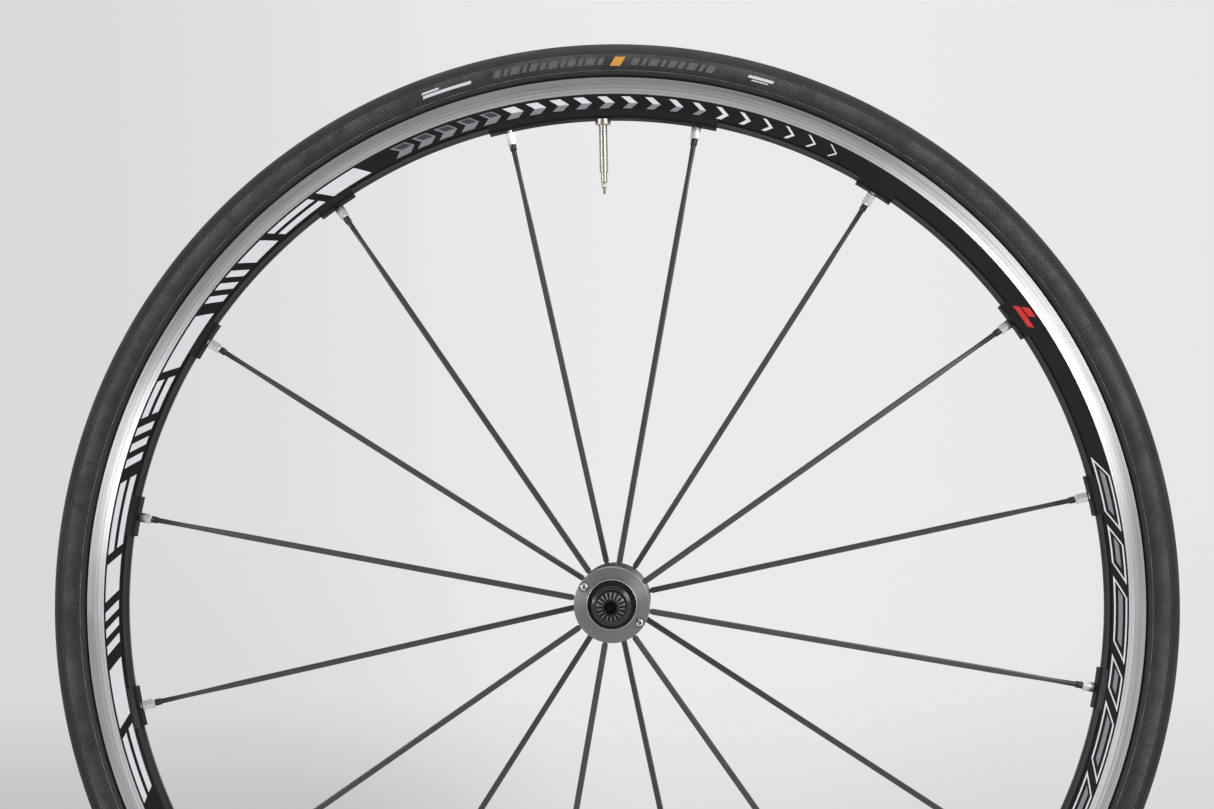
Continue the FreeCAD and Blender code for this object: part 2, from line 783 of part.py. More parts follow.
def valve_seal():
    """Rubber cone that seals the stem in the tyre well."""
    well_floor = spoke_bed_radius - well_radius
    cone = Part.makeCone(valve_hole_radius - fit_gap, valve_foot_radius, valve_seal_thickness - fit_gap,
                         V(well_floor, 0, 0), V(-1, 0, 0))
    return cone.cut(rod(valve_thread_radius + fit_gap, V(well_floor + overcut, 0, 0), V(-1, 0, 0),
                        valve_seal_thickness + 2 * overcut))


def valve_ring_nut():
    """Round nut that pulls the stem tight, with a hub that centres it in the rim's hole."""
    seat = V(valve_ring_seat_gap, 0, 0)
    ring = rod(valve_ring_radius, seat, X_WAY, valve_ring_length - valve_ring_seat_gap)
    hub_start = V(-valve_ring_hub_length, 0, 0)
    hub = rod(valve_hole_radius - 3 * fit_gap, hub_start, X_WAY, valve_ring_hub_length + 2 * fuse_overlap)
    thread = rod(valve_thread_radius + fit_gap, hub_start - X_WAY * overcut, X_WAY,
                 valve_ring_hub_length + valve_ring_length + 2 * overcut)
    return joined([ring, hub]).cut(thread)


def valve_pin():
    """Thin pin of the valve core, which the small nut rides on."""
    start = valve_ring_length + valve_stem_length + valve_neck_length - valve_core_depth + valve_bore_gap
    length = valve_core_depth + valve_nut_length + valve_pin_length - valve_bore_gap
    return rod(valve_pin_radius, V(start, 0, 0), X_WAY, length)


def valve_nut():
    """Small round nut that locks the pin."""
    start = valve_ring_length + valve_stem_length + valve_neck_length
    nut = rod(valve_nut_radius, V(start + valve_nut_gap, 0, 0), X_WAY, valve_nut_length - valve_nut_gap)
    return nut.cut(rod(valve_pin_radius + valve_nut_gap, V(start - overcut, 0, 0), X_WAY,
                       valve_nut_length + 2 * overcut))


# ---------------------------------------------------------------- write the sub-parts

os.makedirs("parts", exist_ok=True)

save("rim", rim())
save("tyre", tyre())

one_spoke, one_nipple = spoke(), nipple()
nipples = []
for side, word in ((NUT_SIDE, "nut_side"), (LEVER_SIDE, "lever_side")):
    for number, angle in enumerate(spoke_angles(side), 1):
        save(f"spoke_{word}_{number}", aimed(one_spoke, angle, side))
        nipples.append(aimed(one_nipple, angle, side))
    save(f"clamp_ring_{word}", clamp_ring(side))
    save(f"ring_screws_{word}", [around(angle, ring_screw(side)) for angle in ring_screw_angles(side)])
    save(f"bearing_outer_{word}", bearing_outer(side))
    save(f"bearing_inner_{word}", bearing_inner(side))
    save(f"seal_{word}", seal(side))
    save(f"end_cap_{word}", end_cap(side))
save("nipples", nipples)
save("hub_shell", hub_shell())
save("axle", axle())

spring_start = axle_end + spring_end_gap
spring_room = spring_pocket_depth - spring_end_gap
save("spring_nut_side", coil_spring(spring_start, nut_face + spring_room, NUT_SIDE))
save("spring_lever_side", coil_spring(spring_start, cam_face + spring_room, LEVER_SIDE))
save("skewer", skewer())
save("cam_housing", cam_housing())
save("housing_plug", plug_shape(0.0, housing_plug_thickness))
save("nut_washer", nut_washer())
save("qr_nut", qr_nut())
save("lever", lever())
save("acorn_nut", acorn_nut())

save("valve_stem", aimed(valve_stem(), 90.0))
save("valve_seal", aimed(valve_seal(), 90.0))
save("valve_ring_nut", aimed(valve_ring_nut(), 90.0))
save("valve_pin", aimed(valve_pin(), 90.0))
save("valve_nut", aimed(valve_nut(), 90.0))
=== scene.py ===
"""Looks of the road bicycle front wheel.  All positions are in the part's own frame."""

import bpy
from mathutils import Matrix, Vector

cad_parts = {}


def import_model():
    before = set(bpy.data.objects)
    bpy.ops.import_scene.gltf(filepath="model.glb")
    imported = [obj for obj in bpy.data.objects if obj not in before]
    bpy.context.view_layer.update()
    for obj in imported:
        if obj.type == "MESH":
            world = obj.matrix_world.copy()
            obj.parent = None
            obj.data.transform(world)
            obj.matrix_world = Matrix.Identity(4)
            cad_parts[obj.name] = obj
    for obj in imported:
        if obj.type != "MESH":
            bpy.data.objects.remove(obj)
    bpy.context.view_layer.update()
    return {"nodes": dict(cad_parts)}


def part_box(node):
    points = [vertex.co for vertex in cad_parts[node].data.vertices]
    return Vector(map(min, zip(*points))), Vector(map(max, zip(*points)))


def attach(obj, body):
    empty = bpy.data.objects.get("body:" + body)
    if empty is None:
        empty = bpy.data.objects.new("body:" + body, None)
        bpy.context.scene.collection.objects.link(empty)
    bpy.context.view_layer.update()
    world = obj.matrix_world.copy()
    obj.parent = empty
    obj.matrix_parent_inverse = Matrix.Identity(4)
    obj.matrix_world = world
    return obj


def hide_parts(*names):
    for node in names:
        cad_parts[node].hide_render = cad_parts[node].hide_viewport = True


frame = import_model()

import math

import bmesh
import bpy
import numpy as np
from mathutils import Matrix, Vector

MM = 0.001
NUT_SIDE, LEVER_SIDE = -1, 1

# sizes that the solids have too, in millimetres and degrees
BED_RADIUS = 292.4
MILLED_RADIUS = 294.5
MILLED_EDGE = 295.6
MILLED_FLAT_HALF = 3.5
BED_HALF = 4.5
OVERCUT = 1.0
WAIST_RADIUS = 296.56
WAIST_HALF = 9.3
TRACK_FOOT = 306.1
RIM_EDGE = 316.5
TRACK_HALF = 10.25
BODY_HALF = 10.0
BEAD_SEAT = 311.0
INNER_HALF = 7.5
BOSSES = 16
BOSS_PITCH = 360.0 / BOSSES
BOSS_HALF_ANGLE = math.degrees(12.0 / BED_RADIUS)
TYRE_RADIUS = 338.4
TYRE_HALF = 13.5
TYRE_MIDDLE = TYRE_RADIUS - TYRE_HALF
SPOKE_SEAT = 18.0
SPOKE_PLANE = 34.3
SPOKE_LENGTH = math.hypot(BED_RADIUS - SPOKE_SEAT, SPOKE_PLANE)
SPOKES_PER_SIDE = 8
FIRST_SPOKE = {NUT_SIDE: 78.75, LEVER_SIDE: 101.25}
NIPPLE_START = 0.45
NIPPLE_END = 8.45
NIPPLE_FLATS = 5.7
SCREW_CIRCLE = 19.2
SCREW_SEAT = 36.8
FIRST_SCREW = {NUT_SIDE: 146.25, LEVER_SIDE: 180.0 - 146.25}
NUT_RIBS = 18
NUT_START = 58.9
VALVE_CORE_DEPTH = 38.4
VALVE_NUT_LENGTH = 3.5
SIDES = ((NUT_SIDE, "nut_side"), (LEVER_SIDE, "lever_side"))


# ---------------------------------------------------------------- meshes

def make_object(name, vertices, faces, materials, smooth=True, face_materials=None, closed=True):
    """Mesh object from points in millimetres, its faces turned outwards where it is closed."""
    mesh = bpy.data.meshes.new(name)
    mesh.from_pydata((np.asarray(vertices, float) * MM).tolist(), [], faces)
    for material in materials:
        mesh.materials.append(material)
    if face_materials is not None:
        mesh.polygons.foreach_set("material_index", np.asarray(face_materials, np.int32))
    mesh.polygons.foreach_set("use_smooth", [smooth] * len(mesh.polygons))
    mesh.validate()
    if closed:
        shape = bmesh.new()
        shape.from_mesh(mesh)
        bmesh.ops.recalc_face_normals(shape, faces=shape.faces)
        shape.to_mesh(mesh)
        shape.free()
    mesh.update()
    obj = bpy.data.objects.new(name, mesh)
    bpy.context.scene.collection.objects.link(obj)
    return obj


def crisp(obj, degrees=32.0):
    """Keep edges sharper than this angle crisp."""
    obj.data.set_sharp_from_angle(angle=math.radians(degrees))
    return obj


def grid_faces(rows, columns, close_rows=True, close_columns=True, first=0):
    """Quads of a grid of points, row after row."""
    faces = []
    for i in range(rows if close_rows else rows - 1):
        for j in range(columns if close_columns else columns - 1):
            a = first + i * columns + j
            b = first + i * columns + (j + 1) % columns
            c = first + ((i + 1) % rows) * columns + (j + 1) % columns
            d = first + ((i + 1) % rows) * columns + j
            faces.append((a, b, c, d))
    return faces


def circle(count):
    """Angles in radians of evenly spaced points round a circle."""
    return np.arange(count) * 2 * math.pi / count


def ring_on_x(along, radii, turns):
    """Ring of points round the X axis."""
    return np.stack([np.full(len(turns), along), radii * np.cos(turns), radii * np.sin(turns)], -1)


def polar(radius, along, degrees):
    """Point in the wheel from its radius, its place along the axle and its angle."""
    turn = np.radians(degrees)
    return np.stack(np.broadcast_arrays(radius * np.cos(turn), along, radius * np.sin(turn)), -1)


def turned(outline, steps=96):
    """Vertices and faces of a closed outline of (radius, along) turned about the axle line."""
    outline = np.asarray(outline, float)
    turns = np.arange(steps) * 360.0 / steps
    points = polar(outline[None, :, 0], outline[None, :, 1], turns[:, None]).reshape(-1, 3)
    return points, grid_faces(steps, len(outline))


def aimed(points, degrees, side=0):
    """Points drawn along +X from the rim's inner face towards the hub, moved to their place."""
    points = np.asarray(points, float)
    lean = math.atan2(side * SPOKE_PLANE, BED_RADIUS - SPOKE_SEAT)
    c, s = math.cos(math.pi - lean), math.sin(math.pi - lean)
    x = points[:, 0] * c - points[:, 1] * s + BED_RADIUS
    y = points[:, 0] * s + points[:, 1] * c
    turn = math.radians(degrees)
    return np.stack([x * math.cos(turn) - points[:, 2] * math.sin(turn), y,
                     x * math.sin(turn) + points[:, 2] * math.cos(turn)], -1)


def loft(rings):
    """Vertices and faces through rings of as many points each, closed at both ends."""
    count = len(rings[0])
    faces = grid_faces(len(rings), count, close_rows=False)
    faces.append(tuple(range(count)))
    last = (len(rings) - 1) * count
    faces.append(tuple(range(last + count - 1, last - 1, -1)))
    return np.concatenate(rings), faces


def merged(parts):
    """One set of vertices and faces from several."""
    points, faces, start = [], [], 0
    for part_points, part_faces in parts:
        points.append(part_points)
        faces += [tuple(i + start for i in face) for face in part_faces]
        start += len(part_points)
    return np.concatenate(points), faces


# ---------------------------------------------------------------- materials

class Nodes:
    """Adds nodes to a node tree and links them."""

    def __init__(self, tree):
        self.tree = tree

    def add(self, kind, **settings):
        node = self.tree.nodes.new(kind)
        for key, value in settings.items():
            setattr(node, key, value)
        return node

    def put(self, value, socket):
        if isinstance(value, (int, float, tuple)):
            socket.default_value = value
        else:
            self.tree.links.new(value, socket)

    def math(self, operation, *values):
        node = self.add("ShaderNodeMath", operation=operation)
        for value, socket in zip(values, node.inputs):
            self.put(value, socket)
        return node.outputs[0]

    def times(self, first, second):
        return self.math("MULTIPLY", first, second)

    def plus(self, first, second):
        return self.math("ADD", first, second)

    def split(self, place):
        """The three parts of a place."""
        node = self.add("ShaderNodeSeparateXYZ")
        self.put(place, node.inputs[0])
        return node.outputs

    def vector(self, x, y, z):
        node = self.add("ShaderNodeCombineXYZ")
        for value, socket in zip((x, y, z), node.inputs):
            self.put(value, socket)
        return node.outputs[0]

    def spread(self, value, low, high, to_low, to_high):
        """Smooth change from one level to another between two values."""
        node = self.add("ShaderNodeMapRange", interpolation_type="SMOOTHSTEP")
        for item, socket in zip((value, low, high, to_low, to_high), node.inputs):
            self.put(item, socket)
        return node.outputs[0]

    def band(self, value, low, high, soft):
        """1 between low and high, 0 outside, with soft edges."""
        rise = self.spread(value, low - soft, low + soft, 0.0, 1.0)
        fall = self.spread(value, high - soft, high + soft, 1.0, 0.0)
        return self.times(rise, fall)

    def blend(self, amount, first, second):
        """Colour between two colours or colour outputs."""
        node = self.add("ShaderNodeMix", data_type="RGBA")
        self.put(amount, node.inputs[0])
        for value, socket in zip((first, second), (node.inputs[6], node.inputs[7])):
            self.put(value if not isinstance(value, tuple) else (*value, 1.0), socket)
        return node.outputs[2]


class Paint(Nodes):
    """Builds one node material on a Principled shader."""

    def __init__(self, name, **values):
        self.material = bpy.data.materials.new(name)
        self.material.use_nodes = True
        super().__init__(self.material.node_tree)
        self.shader = self.tree.nodes["Principled BSDF"]
        self.place = self.add("ShaderNodeTexCoord").outputs["Object"]
        for key, value in values.items():
            self.shader.inputs[key.replace("_", " ").title().replace("Ior", "IOR")].default_value = value

    def polar(self):
        """Radius and place along the axle in millimetres, and the angle in radians."""
        x, y, z = self.split(self.place)
        squares = self.plus(self.times(x, x), self.times(z, z))
        radius = self.times(self.math("SQRT", squares), 1000.0)
        return radius, self.times(y, 1000.0), self.math("ARCTAN2", z, x)

    def noise(self, scale, detail=4.0, roughness=0.55, place=None):
        node = self.add("ShaderNodeTexNoise")
        self.put(place or self.place, node.inputs["Vector"])
        node.inputs["Scale"].default_value = scale
        node.inputs["Detail"].default_value = detail
        node.inputs["Roughness"].default_value = roughness
        return node.outputs["Fac"]

    def colour(self, value):
        self.put(value, self.shader.inputs["Base Color"])

    def roughness(self, value):
        self.put(value, self.shader.inputs["Roughness"])

    def bump(self, height, distance, strength=1.0):
        """Relief of this height, where distance is in millimetres."""
        node = self.add("ShaderNodeBump")
        node.inputs["Strength"].default_value = strength
        node.inputs["Distance"].default_value = distance * MM
        self.put(height, node.inputs["Height"])
        self.put(node.outputs[0], self.shader.inputs["Normal"])

    def along_circles(self):
        """Brushing that runs round the axle, so that highlights spread across it."""
        node = self.add("ShaderNodeTangent", direction_type="RADIAL", axis="Y")
        self.put(node.outputs[0], self.shader.inputs["Tangent"])
        self.shader.inputs["Anisotropic Rotation"].default_value = 0.25


def shades(colour, variation):
    """A darker and a lighter shade of a colour."""
    return [tuple(min(1.0, c * share) for c in colour) for share in (1 - variation, 1 + variation)]


def finish(name, colour, rough, swing, fine, cloud_scale, relief, variation, **values):
    """Plain surface with fine grain, slight stains and a roughness that swings about its mean."""
    paint = Paint(name, **values)
    grain = paint.noise(*fine)
    cloud = paint.noise(cloud_scale, 5.0)
    paint.colour(paint.blend(cloud, *shades(colour, variation)))
    both = paint.plus(grain, cloud)
    paint.roughness(paint.spread(both, 0.6, 1.4, rough * (1 - swing), rough * (1 + swing)))
    paint.bump(grain, relief)
    return paint.material


def metal(name, colour, rough, relief=0.004, variation=0.12):
    """Bare or anodised metal."""
    return finish(name, colour, rough, 0.2, (900.0, 3.0), 60.0, relief, variation, metallic=1.0)


def coated(name, colour, rough, relief=0.006, **values):
    """Painted, moulded or dyed surface."""
    return finish(name, colour, rough, 0.15, (1400.0, 2.0), 45.0, relief, 0.25, **values)


def turned_metal(name, colour, rough, anisotropic=0.6, edges=()):
    """Metal with fine turning lines round the axle, and painted highlights on edges between two radii."""
    lines = 5.0
    paint = Paint(name, metallic=1.0, anisotropic=anisotropic)
    radius, along, _ = paint.polar()
    place = paint.vector(paint.times(radius, lines), paint.times(along, lines), 0.0)
    groove = paint.noise(1.0, 4.0, 0.7, place)
    cloud = paint.noise(40.0, 4.0)
    base = paint.blend(paint.times(paint.plus(groove, cloud), 0.5), *shades(colour, 0.1))
    # painted highlight: bands between the given radii are painted lighter
    for low, high in edges:
        base = paint.blend(paint.band(radius, low, high, 0.05), base, (0.17, 0.17, 0.175))
    paint.colour(base)
    paint.roughness(paint.spread(groove, 0.3, 0.7, rough * 0.85, rough * 1.15))
    paint.bump(groove, 0.01)
    paint.along_circles()
    return paint.material


def tyre_material():
    """Rubber with a woven sidewall crossed by seams, a dotted mould line and a siped tread."""
    threads, thread_climb = 1120.0, 1.82
    weave_foot, weave_top = 320.7, 330.2
    sipes, sipe_climb = 780.0, 2.1
    seams, first_seam = 24, math.radians(28.93)

    paint = Paint("tyre_rubber", specular_ior_level=0.3)
    radius, _, angle = paint.polar()
    turn = paint.times(angle, threads / 2)
    climb = paint.times(radius, thread_climb)
    first = paint.math("ABSOLUTE", paint.math("SINE", paint.plus(turn, climb)))
    second = paint.math("ABSOLUTE", paint.math("SINE", paint.math("SUBTRACT", turn, climb)))
    lattice = paint.spread(paint.times(first, second), 0.12, 0.75, 0.0, 1.0)
    worn = paint.spread(paint.noise(60.0, 6.0, 0.7), 0.35, 0.62, 0.3, 1.0)
    band = paint.band(radius, weave_foot, weave_top, 0.35)
    weave = paint.times(band, paint.times(lattice, worn))

    turn = paint.times(angle, sipes)
    climb = paint.times(radius, sipe_climb)
    sipe = paint.spread(paint.math("SINE", paint.plus(turn, climb)), 0.45, 0.95, 0.0, 1.0)
    cut = paint.times(sipe, paint.band(radius, 332.3, 337.2, 0.3))

    dots = paint.spread(paint.math("SINE", paint.times(angle, 1500.0)), -0.3, 0.4, 0.0, 1.0)
    patches = paint.noise(1.0, 2.0, 0.6, paint.vector(paint.times(angle, 30.0), 0.0, 0.0))
    dots = paint.times(dots, paint.spread(patches, 0.3, 0.6, 0.25, 1.0))
    line = paint.times(paint.band(radius, 319.9, 320.35, 0.12), dots)

    share = paint.times(paint.math("SUBTRACT", angle, first_seam), seams / (2 * math.pi))
    share = paint.math("FRACT", paint.plus(share, 0.5))
    flank = paint.band(radius, weave_foot, 331.4, 0.3)
    seam = paint.times(paint.band(share, 0.4975, 0.5025, 0.0008), flank)

    cloud = paint.noise(34.0, 6.0, 0.6)
    tread = paint.spread(radius, 331.3, 331.9, 0.0, 1.0)
    # painted light: the strip by the rim lies in shade and is painted lighter in patches
    foot = paint.times(paint.band(radius, 314.0, 319.5, 0.5), cloud)
    # painted highlight: a light line along the tread's edge, where the shoulder catches the light
    ridge_highlight = paint.band(radius, 331.0, 331.5, 0.2)
    rubber = paint.blend(cloud, (0.010, 0.0105, 0.011), (0.018, 0.0185, 0.019))
    # painted sheen: the weave's threads are painted lighter towards the tread, in place of the lamp's
    # highlight on the curved sidewall
    outwards = paint.spread(radius, 321.5, 329.0, 0.0, 1.0)
    thread_with_sheen = paint.blend(outwards, (0.062, 0.0625, 0.065), (0.155, 0.156, 0.162))
    for place, share, colour in (
        (weave, 1.0, thread_with_sheen),
        (seam, 0.75, (0.010, 0.010, 0.010)),
        (tread, 0.8, (0.021, 0.0215, 0.021)),
        (foot, 1.0, (0.06, 0.06, 0.061)),
        # painted shade: the sipes are painted darker, as the shade inside their grooves
        (cut, 0.7, (0.009, 0.009, 0.009)),
        (ridge_highlight, 0.6, (0.058, 0.058, 0.058)),
        (line, 0.8, (0.36, 0.35, 0.33)),
    ):
        rubber = paint.blend(paint.times(place, share), rubber, colour)
    paint.colour(rubber)
    paint.roughness(paint.spread(cloud, 0.3, 0.7, 0.5, 0.66))
    skin = paint.noise(1500.0, 2.0)
    height = paint.plus(paint.times(weave, 0.5), paint.times(skin, 0.25))
    height = paint.math("SUBTRACT", height, paint.times(cut, 1.6))
    paint.bump(height, 0.25)
    return paint.material


def brake_track_material():
    """Machined aluminium with fine grooves round the wheel, and a painted highlight that makes it brighter
    towards its foot.
    """
    paint = Paint("rim_brake_track", metallic=1.0, anisotropic=0.85)
    radius, _, angle = paint.polar()
    broad = paint.noise(1.0, 3.0, 0.7, paint.vector(paint.times(radius, 1.8), 0.0, 0.0))
    place = paint.vector(paint.times(radius, 5.0), paint.times(angle, 2.0), 0.0)
    fine = paint.noise(1.0, 4.0, 0.75, place)
    rub = paint.noise(22.0, 5.0)
    groove = paint.plus(paint.times(broad, 0.6), paint.times(fine, 0.4))
    lines = paint.spread(groove, 0.42, 0.58, -0.1, 0.9)
    # painted highlight: lighter towards the track's foot, on top of its machining lines
    tone_and_painted_shine = paint.plus(lines, paint.spread(radius, 306.6, 313.5, 0.5, -0.1))
    paint.colour(paint.blend(tone_and_painted_shine, (0.37, 0.375, 0.38), (0.90, 0.905, 0.91)))
    paint.roughness(paint.spread(paint.plus(rub, fine), 0.7, 1.3, 0.3, 0.44))
    paint.bump(groove, 0.06)
    paint.along_circles()
    return paint.material


def rim_black_material():
    """Black anodised body of the rim, with the faint streaks of its extrusion."""
    paint = Paint("rim_anodised", specular_ior_level=0.3)
    radius, along, angle = paint.polar()
    streak = paint.noise(1.0, 3.0, 0.6, paint.vector(paint.times(radius, 3.0),
                                                     paint.times(along, 3.0),
                                                     paint.times(angle, 3.0)))
    cloud = paint.noise(24.0, 5.0)
    dust = paint.noise(500.0, 4.0, 0.7)
    base = paint.blend(cloud, (0.0045, 0.0048, 0.0055), (0.008, 0.0084, 0.0095))
    base = paint.blend(paint.spread(dust, 0.62, 0.78, 0.0, 0.25), base, (0.04, 0.04, 0.042))
    paint.colour(base)
    paint.roughness(paint.spread(paint.plus(streak, cloud), 0.7, 1.3, 0.26, 0.42))
    paint.bump(paint.plus(streak, paint.times(dust, 0.3)), 0.006)
    return paint.material


def milled_material():
    """Satin anodised bed of the rim, its milled spans with the cutter's fine marks and glossier slopes."""
    paint = Paint("rim_milled", specular_ior_level=0.08)
    radius, along, angle = paint.polar()
    cut = paint.spread(radius, MILLED_RADIUS - 0.6, MILLED_RADIUS - 0.2, 0.0, 1.0)
    marks = paint.times(paint.math("SINE", paint.times(angle, 1500.0)), cut)
    cloud = paint.noise(40.0, 5.0)
    base = paint.blend(cloud, (0.004, 0.0043, 0.0048), (0.008, 0.0084, 0.0092))
    paint.colour(paint.blend(paint.spread(marks, -1.0, 1.0, 0.0, 0.3), base, (0.018, 0.018, 0.0195)))
    slope = paint.times(paint.spread(paint.math("ABSOLUTE", along), 3.7, 4.1, 0.0, 0.36), cut)
    paint.roughness(paint.math("SUBTRACT", paint.spread(cloud, 0.3, 0.7, 0.5, 0.64), slope))
    paint.bump(marks, 0.01)
    return paint.material


def ink(name, colour, rough=0.4):
    """Printed mark with slight wear."""
    paint = Paint(name, specular_ior_level=0.5)
    wear = paint.noise(420.0, 5.0, 0.7)
    cloud = paint.noise(50.0, 3.0)
    base = paint.blend(cloud, tuple(c * 0.88 for c in colour), colour)
    paint.colour(paint.blend(paint.spread(wear, 0.66, 0.8, 0.0, 0.6), base, tuple(c * 0.45 for c in colour)))
    paint.roughness(paint.spread(wear, 0.3, 0.7, rough * 0.85, rough * 1.2))
    paint.bump(wear, 0.004)
    return paint.material


def spoke_material():
    """Grey coated steel, darker on the round neck by the nipple."""
    paint = Paint("spoke_coating", metallic=0.6)
    radius, _, _ = paint.polar()
    cloud = paint.noise(45.0, 5.0)
    fine = paint.noise(1400.0, 2.0)
    blade = paint.blend(cloud, (0.078, 0.079, 0.083), (0.098, 0.099, 0.104))
    neck = paint.spread(radius, 262.0, 278.0, 0.0, 0.62)
    paint.colour(paint.blend(neck, blade, (0.018, 0.018, 0.019)))
    paint.roughness(paint.spread(fine, 0.3, 0.7, 0.29, 0.37))
    paint.bump(fine, 0.0008)
    return paint.material


def clamp_ring_material():
    """Grey anodised ring with fine turning lines and a polished chamfer round its opening, its brightness a
    painted highlight.
    """
    paint = Paint("ring_anodised", metallic=1.0, anisotropic=0.8)
    radius, _, _ = paint.polar()
    groove = paint.noise(1.0, 4.0, 0.7, paint.vector(paint.times(radius, 5.0), 0.0, 0.0))
    cloud = paint.noise(60.0, 4.0)
    # painted highlight: the chamfer is painted bright; its lower roughness is its polish
    chamfer = paint.band(radius, 13.6, 14.62, 0.04)
    grey = paint.blend(paint.times(paint.plus(groove, cloud), 0.5),
                       (0.31, 0.305, 0.30), (0.41, 0.405, 0.40))
    paint.colour(paint.blend(chamfer, grey, (0.86, 0.84, 0.80)))
    dull = paint.spread(groove, 0.3, 0.7, 0.34, 0.44)
    paint.roughness(paint.math("SUBTRACT", dull, paint.times(chamfer, 0.14)))
    paint.bump(groove, 0.008)
    paint.along_circles()
    return paint.material


def nut_material():
    """Black nut whose ribs are polished, with painted glints on the rib crests, and whose tip is matt."""
    paint = Paint("nut_black", metallic=0.9)
    radius, _, angle = paint.polar()
    cloud = paint.noise(90.0, 4.0)
    wave = paint.math("COSINE", paint.times(angle, float(NUT_RIBS)))
    # painted glint: the rib crests are painted bright, as reflections on the ribs
    crest_glint = paint.spread(wave, -0.75, 0.1, 1.0, 0.0)
    ribs = paint.times(paint.band(radius, 4.95, 8.2, 0.1), crest_glint)
    tone_and_painted_shine = paint.blend(cloud, (0.17, 0.17, 0.176), (0.26, 0.26, 0.27))
    paint.colour(paint.blend(ribs, (0.022, 0.022, 0.023), tone_and_painted_shine))
    dull = paint.spread(cloud, 0.3, 0.7, 0.34, 0.42)
    paint.roughness(paint.math("SUBTRACT", dull, paint.times(ribs, 0.16)))
    paint.bump(paint.noise(1800.0, 2.0), 0.0005)
    return paint.material


TYRE = tyre_material()
TRACK = brake_track_material()
RIM_BLACK = rim_black_material()
MILLED = milled_material()
SPOKE = spoke_material()
NIPPLE = metal("nipple_polished", (0.84, 0.84, 0.85), 0.22, relief=0.0004, variation=0.04)
WHITE_INK = ink("print_white", (0.80, 0.80, 0.82), 0.35)
SILVER_INK = ink("print_silver", (0.25, 0.26, 0.27), 0.36)
DARK_INK = ink("print_grey", (0.045, 0.046, 0.05), 0.4)
RED_INK = ink("print_red", (0.68, 0.02, 0.02), 0.35)
TYRE_GREY = ink("tyre_print_grey", (0.115, 0.116, 0.12), 0.65)
TYRE_WHITE = ink("tyre_print_white", (0.72, 0.72, 0.74), 0.5)
TYRE_ORANGE = ink("tyre_print_orange", (0.72, 0.34, 0.04), 0.55)
SCREW = metal("screw_polished", (0.80, 0.79, 0.77), 0.2, relief=0.001, variation=0.06)
# painted shade: the socket walls, the same steel as the head, are painted dark
SOCKET_SHADE = metal("screw_socket_painted_shade", (0.10, 0.10, 0.10), 0.4, relief=0.001)
POLISHED = metal("ring_polished", (0.80, 0.77, 0.72), 0.36, relief=0.0005, variation=0.05)
NUT_BLACK = nut_material()
SPRING = metal("spring_steel", (0.60, 0.60, 0.61), 0.25, relief=0.001)
LEVER = coated("lever_black", (0.022, 0.022, 0.024), 0.28, relief=0.002, metallic=0.4)
VALVE_NICKEL = metal("valve_nut_nickel", (0.56, 0.53, 0.47), 0.34, relief=0.0002, variation=0.04)
NODE_MATERIALS = {
    "hub_shell": coated("hub_anodised", (0.10, 0.10, 0.104), 0.36, relief=0.002, metallic=0.8),
    "clamp_ring": clamp_ring_material(),
    "bearing_outer": turned_metal("bearing_shield", (0.42, 0.42, 0.43), 0.3),
    "bearing_inner": turned_metal("bearing_race", (0.55, 0.55, 0.56), 0.22),
    "seal": coated("seal_rubber", (0.010, 0.010, 0.011), 0.55, specular_ior_level=0.3),
    # the cap's edges carry painted highlights
    "end_cap": turned_metal("cap_anodised", (0.045, 0.045, 0.048), 0.24, anisotropic=0.5,
                            edges=((9.6, 9.95), (11.08, 11.33))),
    "axle": turned_metal("axle_anodised", (0.06, 0.06, 0.063), 0.3),
    "skewer": metal("skewer_steel", (0.016, 0.016, 0.017), 0.4, relief=0.002),
    "cam_housing": coated("housing_black", (0.022, 0.022, 0.024), 0.3, metallic=0.3),
    "housing_plug": coated("plug_plastic", (0.018, 0.018, 0.019), 0.5),
    "nut_washer": turned_metal("washer_steel", (0.50, 0.50, 0.51), 0.3),
    "acorn_nut": metal("acorn_steel", (0.62, 0.62, 0.63), 0.2),
    "valve_stem": metal("valve_nickel", (0.44, 0.41, 0.36), 0.36, relief=0.0002, variation=0.04),
    "valve_seal": coated("valve_rubber", (0.018, 0.018, 0.019), 0.6),
    "valve_ring_nut": metal("valve_ring_nickel", (0.52, 0.50, 0.46), 0.34, relief=0.0002, variation=0.04),
    "valve_pin": metal("valve_brass", (0.20, 0.14, 0.08), 0.32, relief=0.0004, variation=0.06),
}
for node_name, node in frame["nodes"].items():
    for start, material in NODE_MATERIALS.items():
        if node_name.startswith(start):
            node.data.materials.clear()
            node.data.materials.append(material)


# ---------------------------------------------------------------- tyre

def tyre_profile():
    """Outline of the tyre from the crown round one side to the bead and back inside."""
    heel, toe, foot = INNER_HALF - 0.2, 4.7, BEAD_SEAT + 0.2
    lining_half, lining_rise = 11.9, 10.5
    leave = RIM_EDGE + 0.5
    rise, reach = TYRE_MIDDLE - leave, TYRE_HALF - heel
    swell = (rise ** 2 + reach ** 2) / (2 * reach)
    swell_angle = math.asin(rise / swell)
    half = [(TYRE_RADIUS, 0.0)]
    for turn in np.radians(np.linspace(0, 90, 46)[1:]):
        half.append((TYRE_MIDDLE + TYRE_HALF * math.cos(turn), TYRE_HALF * math.sin(turn)))
    for turn in np.linspace(0, swell_angle, 14)[1:]:
        half.append((TYRE_MIDDLE - swell * math.sin(turn), TYRE_HALF - swell * (1 - math.cos(turn))))
    half += [(foot, heel), (foot, toe), (foot + 4.0, toe), (TYRE_MIDDLE, lining_half)]
    for turn in np.radians([60, 30]):
        half.append((TYRE_MIDDLE + lining_rise * math.cos(turn), lining_half * math.sin(turn)))
    half.append((TYRE_MIDDLE + lining_rise, 0.0))
    return np.array(half + [(r, -y) for r, y in reversed(half) if y > 0])


